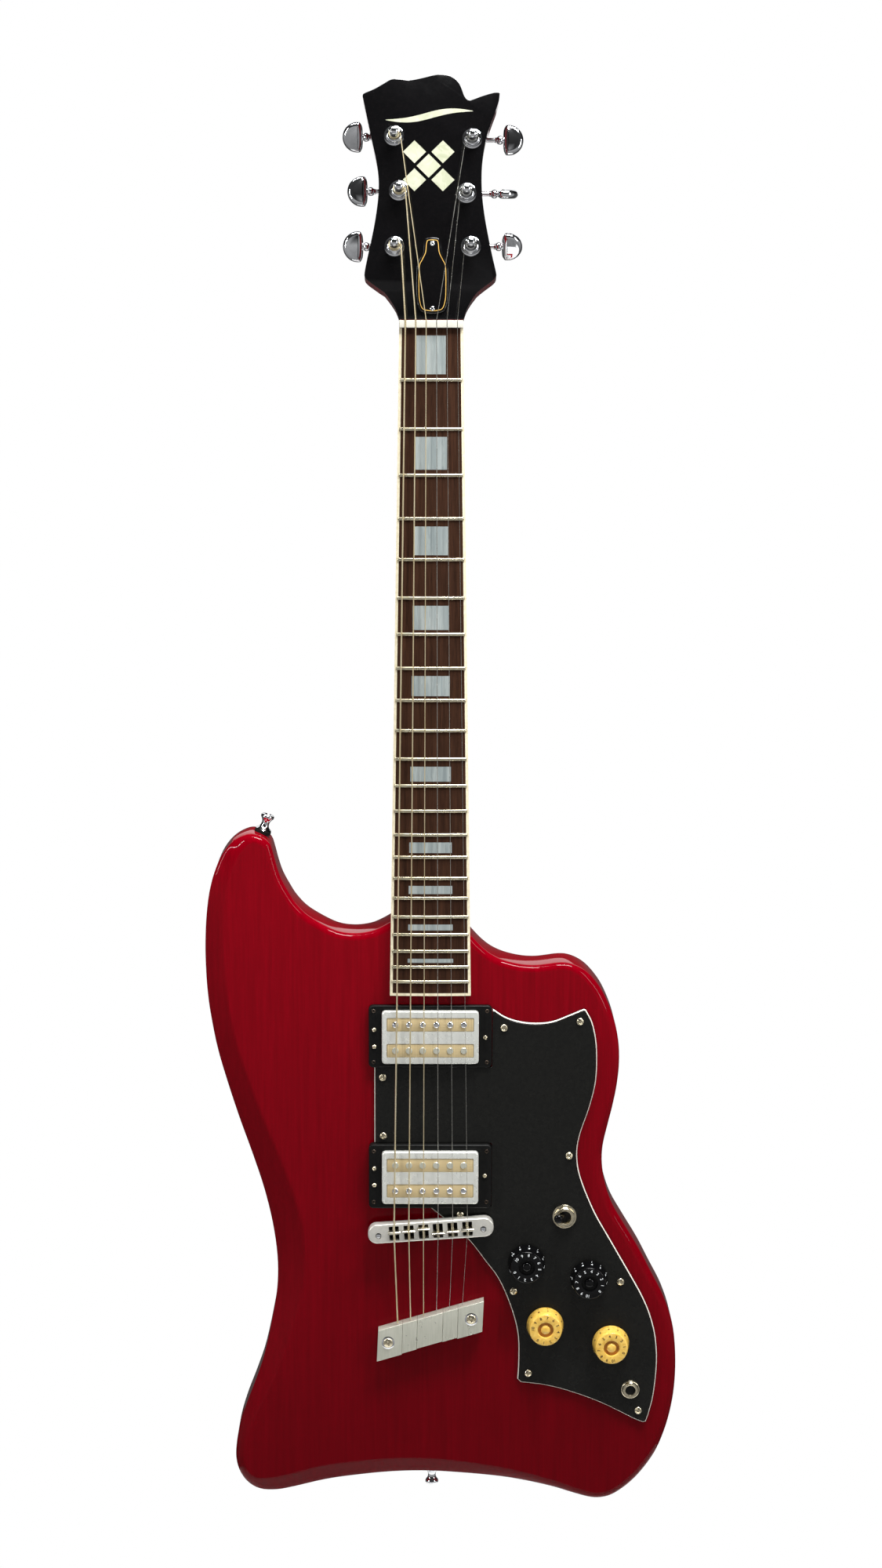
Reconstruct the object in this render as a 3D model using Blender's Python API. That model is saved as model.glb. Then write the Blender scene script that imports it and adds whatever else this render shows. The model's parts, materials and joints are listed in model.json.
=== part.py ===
"""Solid-body electric guitar, upright, face toward -Y, treble side toward +X.

The nut face is at the origin. Lengths below are millimetres unless a name says otherwise.
Three flat working planes are used, each with x to the right, u up the guitar and h out of the face:
BODY (the top of the body), NECK (the top of the fretboard) and HEAD (the face of the headstock).
Distances called d run down the guitar from the nut, so u = -d.
"""
import math

import bmesh
import bpy
from mathutils import Matrix, Vector

MM = 0.001
GAP = 0.3

# ---- overall layout -------------------------------------------------------------------------
SCALE_LENGTH = 628.65
NECK_ANGLE = 2.0
HEAD_ANGLE = 13.0
BODY_TOP_Y = -9.1
HEAD_FACE_Y = 1.9
BODY_THICK = 38.0
BACK_ROUND = 4.0
HEAD_THICK = 15.0
ROUND_UNTIL = 6.0
BEVEL_BLEND = 5.0
ROUND_DROP = 0.9
BEVEL_DROP = 0.45
POCKET_START = 380.0
ROUT_HALF_X = 36.0
ROUT_HALF_D = 20.5
ROUT_CORNER = 4.0
CONTROL_FLOOR = -30.0
STRAP_SCREW_HOLE = 2.3
BRIDGE_POST_HOLE = 2.8

# ---- fretboard and neck ---------------------------------------------------------------------
NUT_WIDTH = 43.6
BOARD_END = 462.3
BOARD_END_WIDTH = 56.6
BOARD_THICK = 5.5
BOARD_RADIUS = 305.0
FRET_COUNT = 22
FRET_HALF = 1.1
FRET_HIGH = 1.1
NUT_THICK = 5.0
NUT_HIGH = 2.3
ROD_H = -9.2
ROD_RADIUS = 2.6
TUNER_HOLE = 5.2
COVER_CENTRE_X = 0.8
NECK_TOP = -BOARD_THICK - GAP
TONGUE_END = 461.8
TONGUE_BOTTOM = -27.2

# ---- strings --------------------------------------------------------------------------------
STRING_NAMES = ("low_e", "a", "d", "g", "b", "high_e")
STRING_RADIUS = (0.58, 0.46, 0.33, 0.22, 0.17, 0.13)
STRING_AT_NUT = (-17.6, -10.5, -3.4, 3.7, 10.8, 17.9)
STRING_NUT_H = 2.0
SADDLE_X = (-25.4, -15.0, -4.7, 5.7, 16.0, 26.4)
SADDLE_D = (631.4, 630.3, 628.6, 631.6, 630.4, 629.0)
SADDLE_STRING_H = 16.9
ANCHOR_X = (-23.0, -13.8, -4.6, 4.6, 13.8, 23.0)
ANCHOR_STRING_H = 7.5

# ---- bridge and string anchor ---------------------------------------------------------------
BRIDGE_CENTRE = (0.5, 630.4)
BRIDGE_SLANT = 3.9
BRIDGE_LONG = 89.0
BRIDGE_WIDE = 14.0
BRIDGE_LOW = 5.4
BRIDGE_HIGH = 13.2
BRIDGE_POST_HALF = 37.1
BRIDGE_POST_U = -1.2
WINDOW_WIDE = 8.8
WINDOW_LONG = 10.4
SADDLE_WIDE = 7.8
SADDLE_LONG = 4.4
ANCHOR_EDGE = ((-36.8, 705.0), (38.2, 682.9), (37.2, 705.6), (-38.0, 727.8))
ANCHOR_HIGH = 10.0

# ---- pickups --------------------------------------------------------------------------------
RING_NECK = {"d": 491.8, "half_x": 43.2, "half_d": 22.3, "high": 4.6, "cover_high": 8.0}
RING_BRIDGE = {"d": 592.4, "half_x": 43.2, "half_d": 23.1, "high": 7.6, "cover_high": 11.4}
COVER_HALF_X = 34.0
COVER_HALF_D = 19.0
COVER_WALL = 0.8
COVER_BOTTOM = -12.0
PICKUP_LOW = -14.0
INSERT_HALF_X = 30.6
INSERT_HALF_D = 4.9
INSERT_OFF = 9.3
POLE_PITCH = 9.6
POLE_RADIUS = 2.4

# ---- pickguard and controls -----------------------------------------------------------------
GUARD_TOP = 2.8
KNOBS = (
    ("volume_neck", (68.4, 656.5), "black"),
    ("volume_bridge", (112.9, 668.2), "black"),
    ("tone_neck", (82.0, 702.6), "amber"),
    ("tone_bridge", (128.9, 716.0), "amber"),
)
SWITCH_AT = (95.2, 622.7)
SWITCH_LEAN = 17.0
SWITCH_LEAN_DIRECTION = 150.0
JACK_AT = (143.3, 750.7)

# ---- tuners: x and u of each string post on the headstock, side of the button, button turn ---
TUNERS = (
    ("low_e", -25.1, 55.9, -1, 18.0),
    ("a", -22.2, 94.6, -1, 0.0),
    ("d", -25.6, 132.7, -1, 30.0),
    ("g", 27.9, 130.8, 1, 0.0),
    ("b", 24.0, 93.0, 1, 106.0),
    ("high_e", 27.0, 56.1, 1, 48.0),
)
POST_RADIUS = 3.0
WORM_OFF = 5.5
WORM_H = -22.75
BUTTON_OUT = 25.6
BUTTON_LONG_HALF = 11.0
BUTTON_REACH = 10.4

# Body edge: x, d and the width of the edge rounding or bevel there, clockwise from the neck's left.
BODY_EDGE = (
    (-8, 402.5, 5), (-20, 406.5, 5), (-27.8, 410.8, 5), (-35, 414.8, 5), (-42, 417.6, 5),
    (-51.7, 419, 5), (-61.8, 418.2, 5), (-71.2, 414.8, 5), (-85.6, 406.3, 5), (-94, 397.8, 5),
    (-99.4, 389.3, 5), (-104, 380.5, 5), (-107, 371.5, 5), (-109.2, 363, 5), (-111.8, 355.5, 5),
    (-117.5, 350.6, 5.5), (-125, 348.6, 6.5), (-132.4, 350.8, 8), (-139.5, 355.8, 10),
    (-145.6, 363.5, 11.5), (-150, 373, 12.5), (-153, 382, 13), (-155.6, 394, 13.5),
    (-157.4, 410, 14), (-158.2, 428, 14.5), (-158, 444, 15), (-157.1, 460, 15), (-155.1, 477, 15.3),
    (-150.4, 502.5, 16), (-143.4, 528, 17), (-135.3, 554, 18), (-126.6, 579.5, 19.5),
    (-118.5, 605.4, 21.5), (-112.6, 631, 23), (-109.4, 655, 22.5), (-109.3, 675, 20.5),
    (-112, 695, 18), (-118.5, 726, 14), (-125, 746, 12), (-132, 764.5, 10), (-137, 781, 8.5),
    (-139.5, 796, 7.5), (-139.5, 807, 7), (-136.6, 816.5, 7.5), (-131, 824.2, 8.5),
    (-122.5, 828.8, 10.5), (-110, 829.6, 12), (-97, 827.2, 12.5), (-76, 822.2, 13),
    (-55.5, 819, 13), (-27, 816, 12.5), (1, 815.4, 11.8), (29, 817.2, 10.5), (57.6, 820.7, 9),
    (86, 826.7, 7.4), (103, 831.7, 6.5), (116, 835, 6), (125.5, 834.8, 6), (134, 831.5, 6),
    (145, 823, 6), (155, 811.5, 6), (163.6, 797.6, 6), (170.2, 779.8, 6), (174.4, 761, 6),
    (176.2, 742, 6), (175.9, 722, 6), (173.4, 703, 6), (167, 683.6, 6), (158.1, 666, 6),
    (149, 648.3, 6), (138.5, 630.8, 6), (129.8, 615.5, 6), (124.6, 600.5, 6), (122.2, 586, 6),
    (122.6, 573, 6), (125.6, 559, 6), (129.3, 543.5, 6), (132.2, 528, 6), (133.6, 512, 6),
    (132.8, 496, 6), (129, 479, 6), (122.4, 463, 6), (115.6, 452.8, 6), (108.9, 445.9, 5.5),
    (102, 441.8, 5), (95.4, 439.9, 5), (88.7, 439.9, 5), (82, 440.8, 5), (75.4, 441.6, 5),
    (68.7, 441.6, 5), (62, 440.8, 5), (55.3, 439.3, 5), (48.6, 437, 5), (41.9, 433.4, 5),
    (35.1, 427.8, 5), (27, 419, 5), (18, 409.5, 5), (6, 403, 5),
)

# Headstock edge from the lower left shoulder, over the top, to the lower right shoulder: x, u.
HEAD_EDGE = (
    (-31.8, 24.2), (-37.5, 28.3), (-42.8, 32.2), (-45.2, 35.0), (-45.4, 38.5), (-43.4, 49),
    (-40.2, 64), (-37.6, 79), (-36.1, 93), (-36.2, 105), (-38.0, 117), (-40.8, 130),
    (-44.4, 147), (-47.2, 160.5), (-46.2, 162.4), (-39, 165.6), (-32.5, 169.4), (-27.4, 172.2),
    (-21.5, 172.3), (-15.1, 171.6), (-7.5, 172.9), (2.3, 175.3), (8.5, 175.6), (13.9, 174.2),
    (18.2, 170.6), (20.6, 166.0), (22.4, 161.0), (24.6, 158.4), (27.2, 157.9), (33.5, 160.2),
    (40, 162.3), (45.4, 163.4), (46.8, 162.6), (46.2, 157.5), (44.2, 151.0), (38.9, 136),
    (35.9, 122), (34.5, 109), (34.6, 94), (36.2, 79), (38.6, 65), (41.6, 50), (44.2, 38.5),
    (44.2, 35.6), (42.2, 33.0), (36.8, 28.9), (31.4, 24.6),
)

# Pickguard edge: x, d, clockwise from the neck ring's upper right corner.
GUARD_EDGE_OUTER = (
    (43.9, 472.0), (51.8, 477.4), (61.1, 480.8), (72.7, 482.3), (85.3, 481.2), (96.8, 476.8),
    (107.4, 472.3), (109.3, 472.8), (113.9, 481.9), (116.8, 494.9), (117.6, 509), (117.0, 523.7),
    (114.6, 536), (111.2, 548), (106.9, 560.5), (104.4, 572), (104.4, 583), (106.6, 594),
    (111.8, 608.2), (118.0, 622), (126.5, 637), (135, 652), (143.5, 667), (151.6, 682),
    (157.3, 696), (161.2, 712), (162.4, 731), (160.5, 753.7), (157.4, 768), (155, 775.6),
    (152.6, 776.2), (147, 774), (135.1, 767.8), (119.3, 760.2), (98.5, 752.6), (81.7, 748.3),
    (65, 746.2), (62.2, 743.6), (62.9, 730), (62.6, 712.3), (59.5, 697), (53.3, 679.5),
    (47.1, 667), (39.8, 657.2), (26.7, 640), (9.2, 624.4), (-1.6, 616.0),
)

CONTROL_ROUT = ((83, 609), (104, 611), (122, 636), (128, 655), (127.5, 683), (145, 698), (148, 722),
                (154, 742), (153.5, 759), (134, 759.5), (127, 734), (99, 719), (69.5, 713),
                (66.5, 690), (71, 673), (54, 668.5), (53.5, 645), (66, 641), (81, 636))

COVER_BELL = ((-3.5, 61.5), (-5.6, 58.5), (-6.3, 52), (-8.6, 47), (-10.6, 42), (-10.9, 28),
              (-10.4, 18), (-8.0, 11.5), (-3.0, 9.6))

MATERIALS = {
    "cherry_wood": ((0.30, 0.004, 0.012, 1), 0.0, 0.18),
    "head_wood": ((0.10, 0.012, 0.010, 1), 0.0, 0.22),
    "rosewood": ((0.06, 0.024, 0.014, 1), 0.0, 0.5),
    "ivory_plastic": ((0.82, 0.76, 0.6, 1), 0.0, 0.4),
    "black_plastic": ((0.012, 0.012, 0.012, 1), 0.0, 0.3),
    "amber_plastic": ((0.80, 0.45, 0.06, 1), 0.0, 0.25),
    "cream_insert": ((0.72, 0.50, 0.22, 1), 0.0, 0.5),
    "chrome": ((0.80, 0.81, 0.82, 1), 1.0, 0.08),
    "nickel": ((0.62, 0.61, 0.54, 1), 1.0, 0.28),
    "steel": ((0.55, 0.55, 0.54, 1), 1.0, 0.3),
    "bronze_wire": ((0.66, 0.58, 0.42, 1), 1.0, 0.3),
}


# ---- frames and placement -------------------------------------------------------------------
def working_frame(tilt_degrees, origin):
    """Matrix from plane millimetres (x, u, h) to world metres for a plane tilted back."""
    tilt = math.radians(tilt_degrees)
    right = Vector((1, 0, 0))
    up = Vector((0, math.sin(tilt), math.cos(tilt)))
    out = Vector((0, -math.cos(tilt), math.sin(tilt)))
    matrix = Matrix.Identity(4)
    for column, axis in enumerate((right, up, out)):
        for row in range(3):
            matrix[row][column] = axis[row] * MM
    matrix.translation = Vector(origin) * MM
    return matrix


BODY = working_frame(0, (0, BODY_TOP_Y, 0))
NECK = working_frame(NECK_ANGLE, (0, 0, 0))
HEAD = working_frame(HEAD_ANGLE, (0, HEAD_FACE_Y, 0))


def shift(x, u, h=0.0):
    return Matrix.Translation((x, u, h))


def turn(degrees, axis):
    return Matrix.Rotation(math.radians(degrees), 4, axis)


def moved(shape, matrix):
    verts, faces = shape
    return [matrix @ Vector(v) for v in verts], faces


def joined(*shapes):
    verts, faces = [], []
    for shape_verts, shape_faces in shapes:
        start = len(verts)
        verts += [Vector(v) for v in shape_verts]
        faces += [tuple(i + start for i in face) for face in shape_faces]
    return verts, faces


# ---- plane curves ---------------------------------------------------------------------------
def inset_loop(points, widths):
    """Each point of a closed loop moved inward by its own width."""
    count = len(points)
    area = sum(points[i][0] * points[(i + 1) % count][1] - points[(i + 1) % count][0] * points[i][1]
               for i in range(count))
    side = 1 if area > 0 else -1
    result = []
    for i in range(count):
        before = Vector(points[i - 1][:2])
        after = Vector(points[(i + 1) % count][:2])
        along = (after - before).normalized()
        inward = Vector((-along.y, along.x)) * side
        here = Vector(points[i][:2]) + inward * widths[i]
        result.append((here.x, here.y))
    return result


def rounded_rectangle(half_x, half_u, radius, steps=3):
    points = []
    corners = ((1, 1, 0), (-1, 1, 90), (-1, -1, 180), (1, -1, 270))
    for sx, su, start in corners:
        for step in range(steps + 1):
            angle = math.radians(start + 90 * step / steps)
            points.append((sx * (half_x - radius) + radius * math.cos(angle),
                           su * (half_u - radius) + radius * math.sin(angle)))
    return points


def down_to_up(points):
    return [(p[0], -p[1]) + tuple(p[2:]) for p in points]


# ---- solids ---------------------------------------------------------------------------------
def loft(rings):
    """Closed solid through rings of equal point count, with flat ends."""
    verts = [Vector(p) for ring in rings for p in ring]
    n = len(rings[0])
    faces = [tuple(range(n)), tuple((len(rings) - 1) * n + i for i in range(n))[::-1]]
    for level in range(len(rings) - 1):
        for i in range(n):
            j = (i + 1) % n
            faces.append((level * n + i, level * n + j, (level + 1) * n + j, (level + 1) * n + i))
    return verts, faces


def ring_solid(rings):
    """Closed solid whose last ring joins back to its first, such as a frame or a tube."""
    verts = [Vector(p) for ring in rings for p in ring]
    n = len(rings[0])
    faces = []
    for level in range(len(rings)):
        following = (level + 1) % len(rings)
        for i in range(n):
            j = (i + 1) % n
            faces.append((level * n + i, level * n + j, following * n + j, following * n + i))
    return verts, faces


def at_height(points, h):
    return [(p[0], p[1], h) for p in points]


def prism(points, low, high):
    return loft([at_height(points, low), at_height(points, high)])


def circle(radius, count, h=0.0):
    return [(radius * math.cos(2 * math.pi * i / count),
             radius * math.sin(2 * math.pi * i / count), h) for i in range(count)]


def turned(profile, count=20):
    """Solid of revolution about h from a profile of (radius, h); a zero radius is a pole."""
    verts, faces, rings = [], [], []
    for radius, h in profile:
        if radius == 0:
            rings.append([len(verts)])
            verts.append(Vector((0, 0, h)))
        else:
            rings.append(list(range(len(verts), len(verts) + count)))
            verts += [Vector(p) for p in circle(radius, count, h)]
    for a, b in zip(rings, rings[1:]):
        for i in range(count):
            j = (i + 1) % count
            if len(a) == 1:
                faces.append((a[0], b[j], b[i]))
            elif len(b) == 1:
                faces.append((a[i], a[j], b[0]))
            else:
                faces.append((a[i], a[j], b[j], b[i]))
    return verts, faces


def tube(path, radius, count=8):
    """Round bar along a path of points, with flat ends."""
    rings = []
    side = None
    for i, point in enumerate(path):
        before = path[max(i - 1, 0)]
        after = path[min(i + 1, len(path) - 1)]
        along = (after - before).normalized()
        if side is None:
            side = along.cross(Vector((1, 0, 0))).normalized()
        side = (side - along * side.dot(along)).normalized()
        other = along.cross(side)
        rings.append([point + (side * math.cos(2 * math.pi * k / count)
                               + other * math.sin(2 * math.pi * k / count)) * radius
                      for k in range(count)])
    return loft(rings)


# ---- mesh objects ---------------------------------------------------------------------------
def start_empty_file():
    for thing in list(bpy.data.objects):
        bpy.data.objects.remove(thing, do_unlink=True)
    for mesh in list(bpy.data.meshes):
        bpy.data.meshes.remove(mesh)


def material(name):
    found = bpy.data.materials.get(name)
    if found:
        return found
    colour, metallic, roughness = MATERIALS[name]
    made = bpy.data.materials.new(name)
    made.use_nodes = True
    shader = made.node_tree.nodes["Principled BSDF"]
    shader.inputs["Base Color"].default_value = colour
    shader.inputs["Metallic"].default_value = metallic
    shader.inputs["Roughness"].default_value = roughness
    made.diffuse_color = colour
    return made


def add_object(name, shape, frame, material_name, pivot=(0, 0, 0)):
    """Named object from a shape in plane millimetres, with its origin at the pivot."""
    verts, faces = shape
    origin = frame @ Vector(pivot)
    mesh = bpy.data.meshes.new(name)
    mesh.from_pydata([frame @ Vector(v) - origin for v in verts], [], faces)
    mesh.validate()
    made = bpy.data.objects.new(name, mesh)
    made.location = origin
    bpy.context.scene.collection.objects.link(made)
    if material_name:
        mesh.materials.append(material(material_name))
    face_outward(mesh)
    for face in mesh.polygons:
        face.use_smooth = True
    mesh.set_sharp_from_angle(angle=math.radians(35))
    return made


def face_outward(mesh):
    work = bmesh.new()
    work.from_mesh(mesh)
    bmesh.ops.recalc_face_normals(work, faces=work.faces)
    work.to_mesh(mesh)
    work.free()


def combine(target, shape, frame, operation, label):
    """Boolean a shape into a target; the tool object is kept but never rendered."""
    tool = add_object(target.name + "_tool_" + label, shape, frame, None)
    tool.hide_render = True
    tool.display_type = "WIRE"
    change = target.modifiers.new(label, "BOOLEAN")
    change.operation = operation
    change.solver = "EXACT"
    change.object = tool


def cut(target, shape, frame, label="cut"):
    combine(target, shape, frame, "DIFFERENCE", label)


def fuse(target, shape, frame, label="fuse"):
    combine(target, shape, frame, "UNION", label)


# ---- body -----------------------------------------------------------------------------------
def edge_depth(width):
    """Depth of the edge treatment: a quarter round when narrow, a shallow bevel when wide."""
    blend = min(max((width - ROUND_UNTIL) / BEVEL_BLEND, 0.0), 1.0)
    return width * (ROUND_DROP * (1 - blend) + BEVEL_DROP * blend)


def edge_point(width, step):
    """Inset and depth at a step from 0 (inner crease) to 1 (wall) across the edge treatment."""
    blend = min(max((width - ROUND_UNTIL) / BEVEL_BLEND, 0.0), 1.0)
    angle = step * math.pi / 2
    inset = (1 - math.sin(angle)) * (1 - blend) + (1 - step) * blend
    drop = (1 - math.cos(angle)) * (1 - blend) + step * blend
    return width * inset, edge_depth(width) * drop


def body_solid():
    edge = down_to_up(BODY_EDGE)
    widths = [p[2] for p in edge]
    rings = []
    for step in (0.0, 0.5, 1.0):
        insets = [edge_point(w, step)[0] for w in widths]
        drops = [edge_point(w, step)[1] for w in widths]
        loop = inset_loop(edge, insets)
        rings.append([(p[0], p[1], -drop) for p, drop in zip(loop, drops)])
    for angle in (0, 45, 90):
        inset = BACK_ROUND * (1 - math.cos(math.radians(angle)))
        drop = BODY_THICK - BACK_ROUND * (1 - math.sin(math.radians(angle)))
        loop = inset_loop(edge, [inset] * len(edge))
        rings.append(at_height(loop, -drop))
    return loft(rings)


def board_half(d):
    return (NUT_WIDTH + (BOARD_END_WIDTH - NUT_WIDTH) * d / BOARD_END) / 2


def neck_pocket():
    start, end = POCKET_START, TONGUE_END + GAP
    outline = ((-board_half(start) - GAP, -start), (-board_half(end) - GAP, -end),
               (board_half(end) + GAP, -end), (board_half(start) + GAP, -start))
    shape = prism(outline, TONGUE_BOTTOM - GAP, 30.0)
    to_body = BODY.inverted() @ NECK
    return moved(shape, to_body)


def strap_hole(spot, lean):
    hole = turned(((0, -20), (STRAP_SCREW_HOLE, -20), (STRAP_SCREW_HOLE, 4), (0, 4)), 14)
    return moved(hole, strap_axis(spot, lean))


def strap_axis(spot, lean):
    """Axis out of the body edge at mid thickness, leaning clockwise from straight up."""
    x, d = spot
    return shift(x, -d, -BODY_THICK / 2) @ turn(-lean, "Z") @ turn(-90, "X")


UPPER_STRAP = ((-117.8, 350.4), 18.0)
LOWER_STRAP = ((1.5, 816.0), 180.0)


def make_body():
    body = add_object("body", body_solid(), BODY, "cherry_wood")
    pickup_low = PICKUP_LOW - 1.0
    rout = rounded_rectangle(ROUT_HALF_X, ROUT_HALF_D, ROUT_CORNER)
    shapes = [neck_pocket(), strap_hole(*UPPER_STRAP), strap_hole(*LOWER_STRAP)]
    for ring in (RING_NECK, RING_BRIDGE):
        shapes.append(moved(prism(rout, pickup_low, 12.0), shift(0, -ring["d"])))
    shapes.append(prism(down_to_up(CONTROL_ROUT), CONTROL_FLOOR, 12.0))
    for spot in bridge_post_spots():
        hole = turned(((0, -18), (BRIDGE_POST_HOLE, -18), (BRIDGE_POST_HOLE, 12), (0, 12)), 16)
        shapes.append(moved(hole, shift(spot[0], -spot[1])))
    cut(body, joined(*shapes), BODY, "routs")


# ---- neck, fretboard and nut ----------------------------------------------------------------
SECTION_POINTS = 12


def section(half_left, half_right, depth, squareness, power=2.3):
    """Neck cross-section from the left front corner round the back to the right front corner."""
    points = []
    for i in range(SECTION_POINTS):
        angle = math.pi * i / (SECTION_POINTS - 1)
        c, s = math.cos(angle), math.sin(angle)
        x = -math.copysign(abs(c) ** (2 / power), c)
        y = abs(s) ** (2 / power)
        back = (i - 1) / (SECTION_POINTS - 3)
        square_x = -1 if i <= 1 else (1 if i >= SECTION_POINTS - 2 else -1 + 2 * back)
        square_y = 0 if i in (0, SECTION_POINTS - 1) else 1
        px = x + (square_x - x) * squareness
        py = y + (square_y - y) * squareness
        half = half_left if px < 0 else half_right
        points.append((px * half, -py * depth))
    return points


def neck_rings():
    """Cross-sections in world millimetres from the headstock shoulders to the end of the tongue."""
    to_mm = Matrix.Scale(1 / MM, 4)
    rings = []
    for u, left, right, depth, square in ((24.4, 31.8, 31.4, 15.0, 1.0), (18, 27.3, 27.0, 15.0, 0.85),
                                          (12, 24.0, 24.0, 15.2, 0.6), (5.8, 21.9, 22.1, 15.6, 0.35)):
        rings.append([to_mm @ HEAD @ Vector((x, u, h)) for x, h in section(left, right, depth, square)])
    for d, depth, square in ((-5.3, 11.6, 0.3), (0, 13.6, 0.12), (12, 15.2, 0), (60, 15.6, 0),
                             (160, 16.6, 0), (260, 17.6, 0), (350, 18.4, 0), (378, 18.8, 0.1),
                             (392, 19.8, 0.4), (402, 20.9, 0.8), (410, 21.4, 1.0),
                             (TONGUE_END, 21.4, 1.0)):
        half = board_half(max(d, 0))
        rings.append([to_mm @ NECK @ Vector((x, -d, NECK_TOP + h))
                      for x, h in section(half, half, depth, square)])
    return rings


def neck_solid():
    """Headstock plate and neck as one skin: the plate's lower edge is the first cross-section."""
    rings = neck_rings()
    to_mm = Matrix.Scale(1 / MM, 4)
    front = [to_mm @ HEAD @ Vector((x, u, 0)) for x, u in HEAD_EDGE[1:-1]]
    back = [to_mm @ HEAD @ Vector((x, u, -HEAD_THICK)) for x, u in HEAD_EDGE[1:-1]]
    verts = [p for ring in rings for p in ring]
    n = SECTION_POINTS
    faces = []
    for level in range(len(rings) - 1):
        for i in range(n):
            j = (i + 1) % n
            faces.append((level * n + i, level * n + j, (level + 1) * n + j, (level + 1) * n + i))
    last = (len(rings) - 1) * n
    faces.append(tuple(last + i for i in range(n)))
    m = len(front)
    f0 = len(verts)
    b0 = f0 + m
    verts += front + back
    faces.append((0,) + tuple(f0 + i for i in range(m)) + (n - 1,))
    faces.append((1,) + tuple(b0 + i for i in range(m)) + tuple(range(n - 2, 1, -1)))
    faces.append((0, 1, b0, f0))
    for i in range(m - 1):
        faces.append((f0 + i, b0 + i, b0 + i + 1, f0 + i + 1))
    faces.append((f0 + m - 1, b0 + m - 1, n - 2, n - 1))
    return verts, faces


def box(x0, x1, u0, u1, h0, h1):
    return prism(((x0, u0), (x1, u0), (x1, u1), (x0, u1)), h0, h1)


def make_neck():
    world_mm = Matrix.Scale(MM, 4)
    neck = add_object("neck", neck_solid(), world_mm, "head_wood")
    holes = []
    for _, x, u, _, _ in TUNERS:
        hole = turned(((0, -20), (TUNER_HOLE, -20), (TUNER_HOLE, 6), (0, 6)), 12)
        holes.append(moved(hole, shift(x, u)))
    cut(neck, joined(*holes), HEAD, "tuner_holes")
    cut(neck, box(-3.2, 3.2, -418, 36, -12.4, 2.0), NECK, "rod_channel")


def fret_distance(number):
    return SCALE_LENGTH * (1 - 2 ** (-number / 12))


def board_profile():
    """Distances down the board and heights above its top, with one bump for each fret."""
    profile = [(GAP, 0.0)]
    for number in range(1, FRET_COUNT + 1):
        d = fret_distance(number)
        profile += [(d - FRET_HALF, 0.0), (d - 0.6 * FRET_HALF, 0.8 * FRET_HIGH), (d, FRET_HIGH),
                    (d + 0.6 * FRET_HALF, 0.8 * FRET_HIGH), (d + FRET_HALF, 0.0)]
    profile.append((BOARD_END, 0.0))
    return profile


def camber(x):
    return x * x / (2 * BOARD_RADIUS)


def fretboard_solid():
    profile = board_profile()
    across = (-1.0, -0.5, 0.5, 1.0)
    verts, faces = [], []
    for d, h in profile:
        for share in across:
            x = share * board_half(d)
            verts.append(Vector((x, -d, h - camber(x))))
    rows, columns = len(profile), len(across)
    base = len(verts)
    for d in (GAP, BOARD_END):
        for side in (-1, 1):
            verts.append(Vector((side * board_half(d), -d, -BOARD_THICK)))
    for row in range(rows - 1):
        for column in range(columns - 1):
            a = row * columns + column
            faces.append((a, a + 1, a + columns + 1, a + columns))
    left = tuple(row * columns for row in range(rows))
    right = tuple(row * columns + columns - 1 for row in range(rows))
    faces.append(left + (base + 2, base))
    faces.append(right + (base + 3, base + 1))
    faces.append(tuple(range(columns)) + (base + 1, base))
    last = (rows - 1) * columns
    faces.append(tuple(last + i for i in range(columns)) + (base + 3, base + 2))
    faces.append((base, base + 1, base + 3, base + 2))
    return verts, faces


def nut_solid():
    """Block across the neck with a slot under each string."""
    half = NUT_WIDTH / 2
    top = NUT_HIGH
    points = [(-half, -BOARD_THICK), (-half, top - 1.3), (-half + 1.2, top - 0.8)]
    for x, radius in zip(STRING_AT_NUT, STRING_RADIUS):
        crest = top - camber(x)
        floor = STRING_NUT_H - camber(x) - radius - GAP
        reach = radius + GAP
        points += [(x - reach, crest), (x - reach, floor), (x + reach, floor), (x + reach, crest)]
    points += [(half - 1.2, top - 0.8), (half, top - 1.3), (half, -BOARD_THICK)]
    rings = [[(x, u, h) for x, h in points] for u in (0.0, NUT_THICK)]
    return loft(rings)


def make_truss_parts():
    rod = tube([Vector((0, 21, ROD_H)), Vector((0, -414, ROD_H))], ROD_RADIUS, 10)
    add_object("truss_rod", rod, NECK, "steel")
    half = list(COVER_BELL)
    outline = half + [(-x, u) for x, u in reversed(half)]
    inner = inset_loop(outline, [0.5] * len(outline))
    shape = loft([at_height(outline, GAP), at_height(outline, 1.8), at_height(inner, 2.2)])
    add_object("truss_rod_cover", moved(shape, shift(COVER_CENTRE_X, 0)), HEAD, "black_plastic")


# ---- strap buttons --------------------------------------------------------------------------
def make_strap_button(name, spot, lean):
    profile = ((0, -18), (0.6, -18), (2.0, -15), (2.0, GAP), (5.8, GAP), (5.8, 2.2), (4.2, 3.2),
               (2.9, 5.4), (2.8, 8.0), (3.6, 9.6), (4.7, 11.0), (4.7, 12.6), (3.9, 13.4), (0, 13.4))
    axis = strap_axis(spot, lean)
    add_object(name, moved(turned(profile, 14), axis), BODY, "chrome",
               pivot=tuple(axis.translation))


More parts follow.
